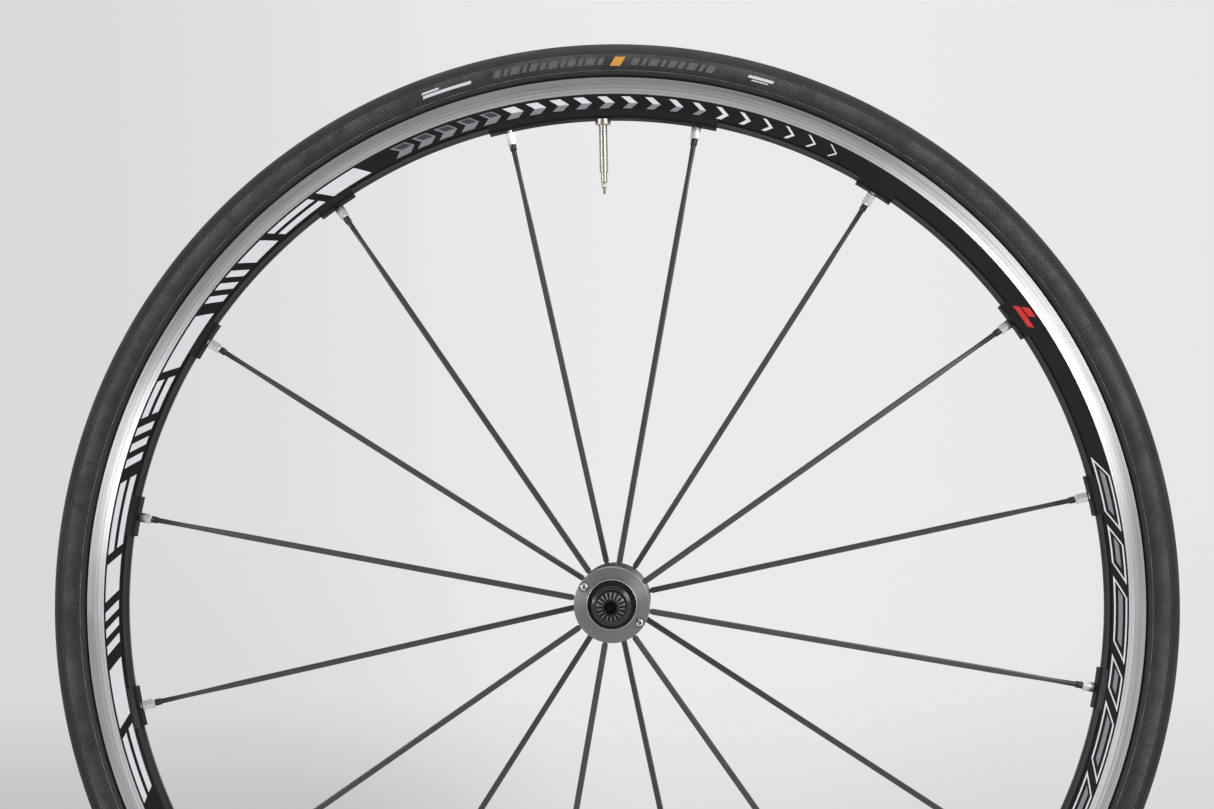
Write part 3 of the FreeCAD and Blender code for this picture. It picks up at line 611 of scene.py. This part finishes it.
def tyre_relief(outline):
    """The outline with shallow grooves at the tread's edge and at the sidewall's foot."""
    outline = outline.copy()
    radius, along = outline[:, 0], outline[:, 1]
    outer = (radius > RIM_EDGE + 1) & (np.abs(along) > TYRE_HALF * 0.5)
    groove = np.zeros_like(radius)
    for place, depth, width in ((330.6, 0.22, 0.45), (319.6, 0.15, 0.35)):
        groove += depth * np.exp(-((radius - place) / width) ** 2)
    outline[outer, 1] -= (np.sign(along) * groove)[outer]
    return outline


points, faces = turned(tyre_relief(tyre_profile()), 720)
tyre = crisp(make_object("tyre_visual", points, faces, [TYRE]), 40)
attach(tyre, "wheel")
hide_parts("tyre")


# ---------------------------------------------------------------- rim

def bed_profile():
    """Half of the rim's outline on a boss, from the middle of the bed to the well."""
    return [
        (BED_RADIUS, 0.0), (BED_RADIUS, 2.4), (BED_RADIUS, MILLED_FLAT_HALF), (BED_RADIUS, BED_HALF),
        (292.8, 6.0), (293.18, 7.2), (293.5, 7.62), (294.0, 7.94), (WAIST_RADIUS, WAIST_HALF),
        (298.4, 9.45), (301.0, 9.63), (303.6, 9.82),
        (TRACK_FOOT, BODY_HALF), (TRACK_FOOT + 0.06, BODY_HALF + 0.02), (TRACK_FOOT + 0.18, TRACK_HALF),
        (307.4, TRACK_HALF - 0.03), (311.2, TRACK_HALF - 0.07), (315.0, TRACK_HALF - 0.03),
        (RIM_EDGE - 0.35, TRACK_HALF), (RIM_EDGE - 0.12, TRACK_HALF - 0.14), (RIM_EDGE, TRACK_HALF - 0.5),
        (RIM_EDGE, INNER_HALF), (BEAD_SEAT, INNER_HALF), (BEAD_SEAT, 5.1), (BEAD_SEAT - 3.0, 4.0),
    ]


def milled_at(along):
    """Radius of the milled surface at a place across the bed."""
    over = max(0.0, abs(along) - MILLED_FLAT_HALF) / (WAIST_HALF + OVERCUT - MILLED_FLAT_HALF)
    return MILLED_RADIUS + (MILLED_EDGE - MILLED_RADIUS) * over


half = bed_profile()
section = half + [(r, -y) for r, y in reversed(half) if y > 0]
boss = np.array(section)
milled = boss.copy()
MILLED_SPREAD, MILLED_REACH = 1.16, 8.82
for i, (radius, along) in enumerate(section):
    if radius < WAIST_RADIUS:
        milled[i, 0] = max(radius, milled_at(along))
        if abs(along) > MILLED_FLAT_HALF and milled[i, 0] > radius:
            reach = MILLED_FLAT_HALF + (abs(along) - MILLED_FLAT_HALF) * MILLED_SPREAD
            milled[i] = (milled_at(reach), math.copysign(min(reach, MILLED_REACH), along))

STEP_ANGLE = 0.012  # how far a boss's end wall leans, in degrees
turns, shapes = [], []
for number in range(BOSSES):
    centre = 90.0 - BOSS_PITCH / 2 + number * BOSS_PITCH
    span = np.linspace(BOSS_HALF_ANGLE, BOSS_PITCH - BOSS_HALF_ANGLE, 40)
    if number == 0:
        # the valve's span isn't milled
        span, shape = span[1:-1], boss
    else:
        span[0] += STEP_ANGLE
        span[-1] -= STEP_ANGLE
        shape = milled
    on_boss = np.linspace(-BOSS_HALF_ANGLE, BOSS_HALF_ANGLE, 11)
    turns += [centre + turn for turn in (*on_boss, *span)]
    shapes += [boss] * len(on_boss) + [shape] * len(span)
shapes = np.array(shapes)
points = polar(shapes[:, :, 0], shapes[:, :, 1], np.array(turns)[:, None]).reshape(-1, 3)
columns = len(section)
faces = grid_faces(len(turns), columns)
BLACK_FACE, TRACK_FACE, MILLED_FACE = 0, 1, 2
MATT_BED_TOP, FLANK_FROM = 293.6, 9.0
kinds = []
for i in range(len(turns)):
    for j in range(columns):
        k = (j + 1) % columns
        radii = (boss[j, 0], boss[k, 0])
        cut = shapes[i][j, 0] != boss[j, 0] or shapes[i][k, 0] != boss[k, 0]
        wide = min(abs(boss[j, 1]), abs(boss[k, 1]))
        if min(radii) > TRACK_FOOT + 0.1 and wide > FLANK_FROM:
            kinds.append(TRACK_FACE)
        elif cut or max(radii) < MATT_BED_TOP:
            kinds.append(MILLED_FACE)
        else:
            kinds.append(BLACK_FACE)
rim = make_object("rim_visual", points, faces, [RIM_BLACK, TRACK, MILLED], face_materials=kinds)
crisp(rim, 18)
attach(rim, "wheel")
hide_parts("rim")


# ---------------------------------------------------------------- printed marks

def rim_side(radius):
    """How far the rim's flank stands from the middle plane."""
    return WAIST_HALF + (radius - WAIST_RADIUS) / (TRACK_FOOT - WAIST_RADIUS) * (BODY_HALF - WAIST_HALF)


def tyre_side(radius):
    """How far the tyre's flank stands from the middle plane."""
    return math.sqrt(TYRE_HALF ** 2 - (radius - TYRE_MIDDLE) ** 2)


def plate(corners, side, flank, proud):
    """Thin closed plate on a flank from four (angle, radius) corners in the wheel."""
    rows, step, sunk = 3, 0.3, 0.12
    (a0, r0), (a1, r1), (a2, r2), (a3, r3) = corners
    steps = max(2, int(abs(a1 - a0) / step) + 1)
    top, under = [], []
    for i in range(steps + 1):
        u = i / steps
        for j in range(rows + 1):
            v = j / rows
            angle = (a0 * (1 - u) + a1 * u) * (1 - v) + (a3 * (1 - u) + a2 * u) * v
            radius = (r0 * (1 - u) + r1 * u) * (1 - v) + (r3 * (1 - u) + r2 * u) * v
            if side == LEVER_SIDE:
                angle = 180.0 - angle
            top.append(polar(radius, side * (flank(radius) + proud), angle))
            under.append(polar(radius, side * (flank(radius) - sunk), angle))
    width, count = rows + 1, len(top)
    faces = []
    for a, b, c, d in grid_faces(steps + 1, width, close_rows=False, close_columns=False):
        faces.append((a, b, c, d))
        faces.append((count + d, count + c, count + b, count + a))
    border = [i * width for i in range(steps + 1)] + [steps * width + j for j in range(1, width)]
    border += [i * width + rows for i in range(steps - 1, -1, -1)] + list(range(rows - 1, 0, -1))
    for a, b in zip(border, border[1:] + border[:1]):
        faces.append((b, a, count + a, count + b))
    return np.array(top + under), faces


def slanted(start, end, low, high, lean):
    """Corners of a slanted block between two angles and two radii."""
    return [(start, low), (end, low), (end + lean, high), (start + lean, high)]


def printed(name, patches, material, flank, proud=0.05):
    """One printed piece on both flanks."""
    parts = [plate(corners, side, flank, proud) for corners in patches for side in (NUT_SIDE, LEVER_SIDE)]
    points, faces = merged(parts)
    obj = make_object(name, points, faces, [material], smooth=False)
    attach(obj, "wheel")


TURN = -1.31  # from the angles written below to where the marks stand, in degrees
ARROWS = 20
arrows_light, arrows_grey, arrows_dark, arrows_edge = [], [], [], []
for number in range(ARROWS):
    tip = 113.6 - number * 2.64 + TURN
    share = number / (ARROWS - 1)
    thick = 1.62 * (1 - share) + 0.22
    middle = 300.9
    upper = [(tip, middle), (tip + thick, middle), (tip + thick + 0.95, 304.7), (tip + 0.95, 304.7)]
    below = middle - 0.02
    lower = [(tip, below), (tip + thick, below), (tip + thick + 0.75, 297.6), (tip + 0.75, 297.6)]
    if number < 5:
        arrows_edge.append(upper)
        arrows_dark.append([(tip + 0.28, middle + 0.35), (tip + thick - 0.22, middle + 0.35),
                            (tip + thick + 0.55, 304.3), (tip + 1.05, 304.3)])
        arrows_grey.append(lower)
    else:
        arrows_light.append(upper)
        (arrows_grey if number < 14 else arrows_light).append(lower)
printed("rim_print_arrows_light", arrows_light, WHITE_INK, rim_side)
printed("rim_print_arrows_grey", arrows_grey, SILVER_INK, rim_side)
printed("rim_print_arrows_edge", arrows_edge, SILVER_INK, rim_side, proud=0.03)
printed("rim_print_arrows_dark", arrows_dark, DARK_INK, rim_side, proud=0.06)

LOW, HIGH = 297.4, 305.2
BARS, SOLID, SPLIT = range(3)
blocks = []
angle = 119.5 + TURN
for length, kind in ((5.2, SOLID), (6.0, SPLIT), (3.6, SOLID), (5.4, BARS), (7.4, SOLID), (4.6, SPLIT),
                     (5.4, BARS), (8.2, SPLIT), (4.2, SOLID), (5.4, BARS), (6.6, SOLID), (7.6, SPLIT)):
    end = angle + length
    if kind == BARS:
        for start in np.arange(angle, end, 1.9):
            blocks.append(slanted(start, start + 1.0, LOW, HIGH, 1.5))
    elif kind == SOLID:
        blocks.append(slanted(angle, end, LOW, HIGH, 1.5))
    else:
        blocks.append(slanted(angle, end, LOW, LOW + 3.0, 0.58))
        blocks.append(slanted(angle + 0.92, end + 0.92, HIGH - 3.0, HIGH, 0.58))
    angle = end + 1.15
printed("rim_print_blocks", blocks, WHITE_INK, rim_side)

outlines, fills = [], []
angle = 17.0 + TURN
for length in (6.4, 4.4, 7.4, 3.8, 6.8, 5.0, 7.8, 4.2, 6.0):
    end = angle - length
    edge = 0.3
    outlines += [
        slanted(angle, end, 297.6, 298.5, -0.3), slanted(angle - 2.3, end - 2.3, 304.3, 305.2, -0.3),
        slanted(angle - 0.3, angle - 0.3 - edge, 298.4, 304.4, -2.0),
        slanted(end - 0.3 + edge, end - 0.3, 298.4, 304.4, -2.0),
    ]
    fills.append(slanted(angle - 1.6, end + 0.1, 300.2, 302.6, -0.8))
    angle = end - 1.5
printed("rim_print_frames", outlines, WHITE_INK, rim_side)
printed("rim_print_bars", fills, SILVER_INK, rim_side)
printed("rim_print_red", [slanted(36.6 + TURN, 33.6 + TURN, 297.8, 300.6, -0.5),
                          slanted(35.9 + TURN, 34.6 + TURN, 301.4, 304.8, -0.6)],
        RED_INK, rim_side)

grey_bars = []
lengths = (0.75, 0.4, 0.95, 0.4, 0.75, 0.55, 0.95, 0.4, 0.75, 0.4, 0.95, 0.55)
for start, count in ((103.0, 12), (88.2, 9)):
    angle = start + TURN
    for length in lengths[:count]:
        grey_bars.append(slanted(angle, angle - length, 323.2, 327.6, -0.35))
        angle -= length + 0.36
printed("tyre_print_grey", grey_bars, TYRE_GREY, tyre_side, proud=0.04)
printed("tyre_print_orange", [slanted(90.4 + TURN, 89.3 + TURN, 322.6, 328.2, -0.6)],
        TYRE_ORANGE, tyre_side)
white_bars = [slanted(start + TURN, end + TURN, low, high, -0.1) for start, end, low, high in (
    (110.8, 105.4, 323.6, 325.4), (110.8, 108.9, 326.1, 327.4), (75.6, 72.9, 325.4, 327.1),
    (75.2, 73.4, 323.9, 324.6))]
printed("tyre_print_white", white_bars, TYRE_WHITE, tyre_side, proud=0.04)


# ---------------------------------------------------------------- spokes and nipples

def soft_square(width, thickness, power, count=24):
    """Corners of a rounded rectangle, rounder for a lower power."""
    turns = circle(count)
    c, s = np.cos(turns), np.sin(turns)
    y = np.sign(c) * np.abs(c) ** (2 / power) * width / 2
    z = np.sign(s) * np.abs(s) ** (2 / power) * thickness / 2
    return y, z


def spoke_rings():
    """Rings of a bladed spoke, its wide side in the wheel's plane: collar, neck, waist, blade and shank."""
    length = SPOKE_LENGTH
    stations = [
        (NIPPLE_END, 3.9, 3.9, 2.0), (8.6, 4.1, 4.1, 2.0), (12.0, 4.1, 4.1, 2.0), (12.25, 3.8, 3.8, 2.0),
        (12.3, 3.1, 3.1, 2.0), (15.2, 3.1, 3.1, 2.0), (18.0, 3.05, 2.8, 2.2), (22.0, 2.9, 2.3, 2.6),
        (27.0, 2.8, 1.9, 3.2), (34.0, 2.86, 1.9, 3.6), (44.0, 3.1, 1.9, 4.2), (54.0, 3.4, 1.9, 4.6),
        (62.0, 3.6, 1.9, 4.8), (120.0, 3.6, 1.9, 4.8), (190.0, 3.6, 1.9, 4.8), (length - 6.1, 3.6, 1.9, 4.8),
        (length - 5.6, 3.4, 1.93, 4.2), (length - 4.8, 2.5, 2.2, 2.8), (length - 4.4, 2.3, 2.3, 2.2),
        (length, 2.3, 2.3, 2.2),
    ]
    rings = []
    for along, width, thickness, power in stations:
        y, z = soft_square(width, thickness, power)
        rings.append(np.stack([np.full_like(y, along), z, y], -1))
    return rings


def spoke_head():
    """Rounded T head across the end of a spoke."""
    turns = circle(16)
    rings = []
    for height, radius in ((-2.6, 1.1), (-2.4, 1.35), (-2.2, 1.45), (2.2, 1.45), (2.4, 1.35), (2.6, 1.1)):
        rings.append(np.stack([SPOKE_LENGTH + radius * np.cos(turns), radius * np.sin(turns),
                               np.full(len(turns), height)], -1))
    return loft(rings)


def hexagonal(turns, across_flats):
    """Distance from the middle to a hexagon's side at each angle."""
    return across_flats / 2 / np.cos((turns % (math.pi / 3)) - math.pi / 6)


def nipple_mesh():
    """Hexagonal nipple with both ends turned to a chamfer, on its shank."""
    corner = NIPPLE_FLATS / math.sqrt(3)
    turns = circle(36)
    flats = hexagonal(turns, NIPPLE_FLATS)
    shank = [ring_on_x(along, np.full(len(turns), radius), turns)
             for along, radius in ((-4.4, 2.35), (0.4, 2.35), (NIPPLE_START, 2.62))]
    body = [ring_on_x(along, np.minimum(radius, flats), turns)
            for along, radius in ((1.15, 3.2), (1.5, corner), (7.5, corner), (7.95, 3.05))]
    mouth = [ring_on_x(NIPPLE_END, np.full(len(turns), radius), turns) for radius in (2.45, 1.0)]
    return loft(shank + body + mouth)


spoke_parts = merged([loft(spoke_rings()), spoke_head()])
nipple_one = nipple_mesh()
nipple_parts = []
for side, word in SIDES:
    for number in range(SPOKES_PER_SIDE):
        angle = FIRST_SPOKE[side] + number * 360.0 / SPOKES_PER_SIDE
        spoke = make_object(f"spoke_visual_{word}_{number + 1}", aimed(spoke_parts[0], angle, side),
                            spoke_parts[1], [SPOKE])
        crisp(spoke, 40)
        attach(spoke, "wheel")
        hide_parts(f"spoke_{word}_{number + 1}")
        nipple_parts.append((aimed(nipple_one[0], angle, side), nipple_one[1]))
points, faces = merged(nipple_parts)
nipples = crisp(make_object("nipples_visual", points, faces, [NIPPLE]), 12)
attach(nipples, "wheel")
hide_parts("nipples")


# ---------------------------------------------------------------- ring screws

def ring_screw():
    """Button head with a hexagonal socket, along X with its seat at 0, and its first socket wall."""
    turns = circle(36)
    flats = hexagonal(turns, 1.9)
    rings = [ring_on_x(along, radius, turns) for along, radius in (
        (-1.0, 1.25), (0.0, 1.25), (0.0, 2.4), (0.12, 2.55), (0.45, 2.52), (0.8, 2.36), (1.1, 2.1),
        (1.32, 1.78), (1.45, 1.45), (1.5, 1.2))]
    socket_wall = (len(rings) + 1) * len(turns)
    rings += [ring_on_x(along, share * flats, turns)
              for along, share in ((1.42, 1.02), (1.34, 1.0), (0.55, 1.0), (0.4, 0.3))]
    return *loft(rings), socket_wall


screw_points, screw_faces, socket_wall = ring_screw()
for side, word in SIDES:
    parts = []
    for turn in np.radians([FIRST_SCREW[side], FIRST_SCREW[side] + 180.0]):
        c, s = math.cos(turn), math.sin(turn)
        x, z = SCREW_CIRCLE + screw_points[:, 1], side * screw_points[:, 2]
        y = side * (SCREW_SEAT + screw_points[:, 0])
        parts.append((np.stack([x * c - z * s, y, x * s + z * c], -1), screw_faces))
    points, faces = merged(parts)
    # faces inside the socket get the painted-shade material
    in_socket_shade = np.zeros(len(faces), int)
    for start in (0, len(screw_faces)):
        in_socket_shade[start + socket_wall:start + len(screw_faces) - 2] = 1
    screws = make_object(f"ring_screws_visual_{word}", points, faces, [SCREW, SOCKET_SHADE],
                         face_materials=in_socket_shade)
    crisp(screws, 35)
    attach(screws, "wheel")
    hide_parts(f"ring_screws_{word}")


# ---------------------------------------------------------------- clamp ring lips

LIP_RADIUS, LIP_FACE, LIP_ROUND = 14.45, 37.9, 0.26
turn = circle(12)
lips = []
for side in (NUT_SIDE, LEVER_SIDE):
    bead = [LIP_RADIUS + LIP_ROUND * np.cos(turn), side * LIP_FACE + LIP_ROUND * np.sin(turn)]
    lips.append(turned(np.stack(bead, -1), 144))
points, faces = merged(lips)
lip = make_object("clamp_ring_lips", points, faces, [POLISHED])
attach(lip, "wheel")


# ---------------------------------------------------------------- nuts

def ribbed(stations, ribs, width, depth, steps_per_rib=20):
    """Rings round an axis along X from (along, radius, share of the flutes' depth), closed on themselves."""
    steps = ribs * steps_per_rib
    turns = circle(steps)
    pitch = 2 * math.pi / ribs
    across = (turns + pitch / 2) % pitch - pitch / 2
    rings = []
    for along, radius, share in stations:
        flute = np.clip(1 - (across * radius / (width / 2)) ** 2, 0.0, 1.0) ** 0.8
        radii = radius - depth * share * flute
        rings.append(ring_on_x(along, radii, turns))
    return np.concatenate(rings), grid_faces(len(rings), steps)


nut_stations = [
    (0.0, 6.3, 0), (0.0, 8.05, 0), (0.25, 8.3, 0), (1.3, 8.3, 0), (1.55, 8.1, 0), (1.62, 7.9, 0),
    (2.1, 7.8, 0), (2.4, 7.62, 0.7), (2.8, 7.3, 1), (4.5, 6.5, 1), (6.2, 5.7, 1), (6.8, 5.3, 0.7),
    (7.3, 4.95, 0), (9.0, 4.85, 0), (11.4, 4.75, 0), (11.8, 4.5, 0), (11.9, 4.2, 0), (11.9, 3.5, 0),
    (11.75, 3.3, 0), (8.9, 2.56, 0), (2.75, 2.56, 0), (2.75, 5.9, 0), (1.6, 6.2, 0),
]
points, faces = ribbed([(NUT_START + along, *rest) for along, *rest in nut_stations], NUT_RIBS, 1.45, 1.0)
points = np.stack([points[:, 1], -points[:, 0], points[:, 2]], -1)
nut = crisp(make_object("qr_nut_visual", points, faces, [NUT_BLACK]), 50)
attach(nut, "nut")
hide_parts("qr_nut")

valve_nut_low = BED_RADIUS - VALVE_CORE_DEPTH - VALVE_NUT_LENGTH
valve_stations = [(0.0, 0.8, 0), (0.0, 1.35, 0), (0.25, 1.62, 0.4), (0.5, 1.74, 1), (2.6, 1.74, 1),
                  (2.85, 1.6, 0.4), (3.05, 1.25, 0), (3.45, 1.2, 0), (3.45, 0.8, 0)]
points, faces = ribbed(valve_stations, 14, 0.5, 0.16, 8)
points = np.stack([points[:, 1], points[:, 2], points[:, 0] + valve_nut_low], -1)
valve_nut = crisp(make_object("valve_nut_visual", points, faces, [VALVE_NICKEL]), 50)
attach(valve_nut, "valve_nut")
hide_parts("valve_nut")


# ---------------------------------------------------------------- springs and lever

def coil(start, end, side):
    """Conical spring of round wire from its small end to its large end."""
    wire, small, large = 0.4, 3.6, 5.3
    turns, steps = 3, 48
    around = circle(12)
    rings = []
    for step in range(turns * steps + 1):
        share = step / (turns * steps)
        radius = small + (large - small) * share + wire * np.cos(around)
        along = side * (start + wire + (end - start - 2 * wire) * share + wire * np.sin(around))
        rings.append(polar(radius, along, 360.0 * turns * share))
    return loft(rings)


for side, word in SIDES:
    ends = sorted(abs(corner[1]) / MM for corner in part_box(f"spring_{word}"))
    points, faces = coil(ends[0], ends[1], side)
    spring = crisp(make_object(f"spring_visual_{word}", points, faces, [SPRING]), 60)
    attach(spring, "axle")
    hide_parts(f"spring_{word}")

LEVER_LENGTH, LEVER_BOSS, LEVER_ARM = 54.0, 5.6, 3.2
LEVER_PAD, LEVER_DROP = 6.5, 9.5
JOURNAL, CAM, CAM_THROW, EYE_HALF = 3.2, 2.1, 0.8, 3.35
lever_low, lever_high = (np.array(corner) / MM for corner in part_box("lever"))
lever_axis = lever_high[1] - LEVER_LENGTH
lever_face = -lever_low[2]
lever_top = lever_high[2]


def post(radius, low, high, x=0.0):
    """Round post along Z on the lever's axis, with chamfered ends."""
    edge = 0.35
    turns = circle(48)
    rings = []
    for height, ring in ((low, radius - edge), (low + edge, radius),
                         (high - edge, radius), (high, radius - edge)):
        rings.append(np.stack([x + ring * np.cos(turns), lever_axis + ring * np.sin(turns),
                               np.full(len(turns), height)], -1))
    return loft(rings)


def eased(share):
    """0 to 1 with a soft start and end."""
    return share * share * (3 - 2 * share)


def lever_arm():
    """Cranked arm from its eye round the boss to the thumb pad, with rounded edges."""
    pad_start = LEVER_LENGTH - LEVER_PAD
    reach = np.concatenate([-LEVER_BOSS * np.cos(np.radians(np.linspace(4, 90, 10))),
                            np.linspace(0.8, 47.0, 64),
                            pad_start + LEVER_PAD * np.sin(np.radians(np.linspace(0, 86, 12)))])
    rings = []
    for y in reach:
        crank = eased(min(max((y - 8.0) / 14.0, 0.0), 1.0))
        lift = max(0.0, (y - 40.0) / 14.0) ** 2
        middle = lever_top - LEVER_ARM / 2 - LEVER_DROP * crank + 1.7 * lift
        grow = min(max((y - 21.0) / 26.5, 0.0), 1.0)
        if y < 0:
            width = 2 * math.sqrt(LEVER_BOSS ** 2 - y ** 2)
        elif y > pad_start:
            width = 2 * math.sqrt(max(LEVER_PAD ** 2 - (y - pad_start) ** 2, 0.0))
        else:
            width = 10.0 + 3.0 * eased(grow) + 1.2 * max(0.0, 1 - y / 9.0)
        x, z = soft_square(width, LEVER_ARM - lift, 3.4, 32)
        dish = 0.5 * grow * np.exp(-(x / 3.6) ** 2) * (z > 0) * math.exp(-((y - 41.0) / 6.0) ** 2)
        rings.append(np.stack([x, np.full_like(x, lever_axis + y), middle + z - dish], -1))
    return loft(rings)


points, faces = merged([lever_arm(), post(LEVER_BOSS - 0.1, lever_face, lever_top - 1.0),
                        post(JOURNAL, EYE_HALF, lever_face + 1.0), post(JOURNAL, -lever_face, -EYE_HALF),
                        post(CAM, -EYE_HALF - 0.5, EYE_HALF + 0.5, CAM_THROW)])
lever = crisp(make_object("lever_visual", points, faces, [LEVER]), 40)
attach(lever, "lever")
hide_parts("lever")


# ---------------------------------------------------------------- floor, light and camera

GROUND = -(TYRE_RADIUS + 0.15)
BACKDROP = (0.83, 0.83, 0.84)


def wall_shade(nodes, x):
    """Brightness of the backdrop from the sideways direction, a little darker to both sides."""
    left = nodes.spread(x, -0.32, 0.0, 0.84, 1.0)
    return nodes.times(left, nodes.spread(x, 0.1, 0.34, 1.0, 0.94))


def floor():
    """Pale floor that fades into the backdrop's colour far from the object."""
    turns = circle(64)
    rings = [np.stack([r * np.cos(turns), r * np.sin(turns), np.full(len(turns), GROUND)], -1)
             for r in (20.0, 300.0, 600.0, 1000.0, 1600.0, 2400.0, 4000.0, 9000.0, 30000.0)]
    faces = grid_faces(len(rings), len(turns), close_rows=False)
    faces.append(tuple(range(len(turns) - 1, -1, -1)))
    faces = [face[::-1] for face in faces]
    paint = Paint("floor_pale")
    cloud = paint.noise(3.0, 4.0)
    paint.colour(paint.blend(cloud, (0.74, 0.74, 0.75), (0.78, 0.78, 0.79)))
    paint.roughness(0.7)
    x, y, _ = paint.split(paint.place)
    squares = paint.plus(paint.times(x, x), paint.times(y, y))
    distance = paint.math("SQRT", squares)
    sideways = paint.math("DIVIDE", x, distance)
    # painted shade: the floor's glow is darker to the left and close to the wheel
    near_painted_shade = paint.spread(sideways, -0.32, 0.0, 0.70, 0.86)
    shade = paint.times(wall_shade(paint, sideways), paint.spread(y, 0.4, 3.2, near_painted_shade, 1.0))
    glow = paint.add("ShaderNodeEmission")
    glow.inputs["Color"].default_value = (*BACKDROP, 1.0)
    paint.put(shade, glow.inputs["Strength"])
    mix = paint.add("ShaderNodeMixShader")
    paint.put(paint.spread(distance, 0.45, 1.5, 0.0, 1.0), mix.inputs[0])
    paint.put(paint.shader.outputs[0], mix.inputs[1])
    paint.put(glow.outputs[0], mix.inputs[2])
    paint.put(mix.outputs[0], paint.tree.nodes["Material Output"].inputs["Surface"])
    make_object("floor", np.concatenate(rings), faces, [paint.material], closed=False)


def world():
    """Even soft light, with the pale backdrop for the camera and for reflections.

    Reflections find the studio dimmer in front of the wheel, where its lamps stand.
    """
    studio = bpy.data.worlds.new("studio")
    bpy.context.scene.world = studio
    studio.use_nodes = True
    nodes = Nodes(studio.node_tree)
    light = nodes.tree.nodes["Background"]
    light.inputs["Color"].default_value = (0.95, 0.97, 1.0, 1.0)
    light.inputs["Strength"].default_value = 0.40
    x, y, z = nodes.split(nodes.add("ShaderNodeTexCoord").outputs["Generated"])
    path = nodes.add("ShaderNodeLightPath")
    front = nodes.spread(y, -0.9, 0.2, 0.34, 1.0)
    reflected = nodes.times(front, nodes.spread(z, -0.6, 0.5, 0.8, 1.05))
    seen = nodes.add("ShaderNodeBackground")
    seen.inputs["Color"].default_value = (*BACKDROP, 1.0)
    strength = nodes.add("ShaderNodeMix", data_type="FLOAT")
    nodes.put(path.outputs["Is Camera Ray"], strength.inputs[0])
    nodes.put(reflected, strength.inputs[2])
    nodes.put(wall_shade(nodes, x), strength.inputs[3])
    nodes.put(strength.outputs[0], seen.inputs["Strength"])
    shown = nodes.math("MAXIMUM", path.outputs["Is Camera Ray"], path.outputs["Is Glossy Ray"])
    shown = nodes.math("MAXIMUM", shown, path.outputs["Is Transmission Ray"])
    mix = nodes.add("ShaderNodeMixShader")
    nodes.put(shown, mix.inputs[0])
    nodes.put(light.outputs[0], mix.inputs[1])
    nodes.put(seen.outputs[0], mix.inputs[2])
    nodes.put(mix.outputs[0], nodes.tree.nodes["World Output"].inputs["Surface"])


def softbox(name, place, target, size, power):
    """Rectangular studio light."""
    data = bpy.data.lights.new(name, "AREA")
    data.shape = "RECTANGLE"
    data.size, data.size_y = size
    data.energy = power
    obj = bpy.data.objects.new(name, data)
    obj.location = place
    obj.rotation_euler = (Vector(target) - Vector(place)).to_track_quat("-Z", "Y").to_euler()
    bpy.context.scene.collection.objects.link(obj)


floor()
world()
softbox("light_left", (-1.75, -1.45, 0.42), (0, 0, 0), (0.5, 0.5), 14.0)
softbox("light_right", (1.25, -1.3, 0.68), (0, 0, 0), (0.9, 0.9), 15.5)
softbox("light_top", (0.0, 0.1, 2.2), (0, 0, 0), (2.0, 1.4), 12.0)

camera_data = bpy.data.cameras.new("camera")
camera_data.sensor_width = 36.0
camera_data.lens = 59.62
camera_data.clip_start, camera_data.clip_end = 0.05, 60.0
camera = bpy.data.objects.new("camera", camera_data)
right = Vector((0.9994, 0.02687, -0.02165))
up = Vector((0.02284, -0.04489, 0.99873))
back = Vector((0.02586, -0.99863, -0.04548))
camera.matrix_world = Matrix((
    (right.x, up.x, back.x, 0.03021),
    (right.y, up.y, back.y, -1.21477),
    (right.z, up.z, back.z, 0.06347),
    (0, 0, 0, 1),
))
bpy.context.scene.collection.objects.link(camera)
bpy.context.scene.camera = camera
bpy.context.scene.view_settings.view_transform = "Standard"
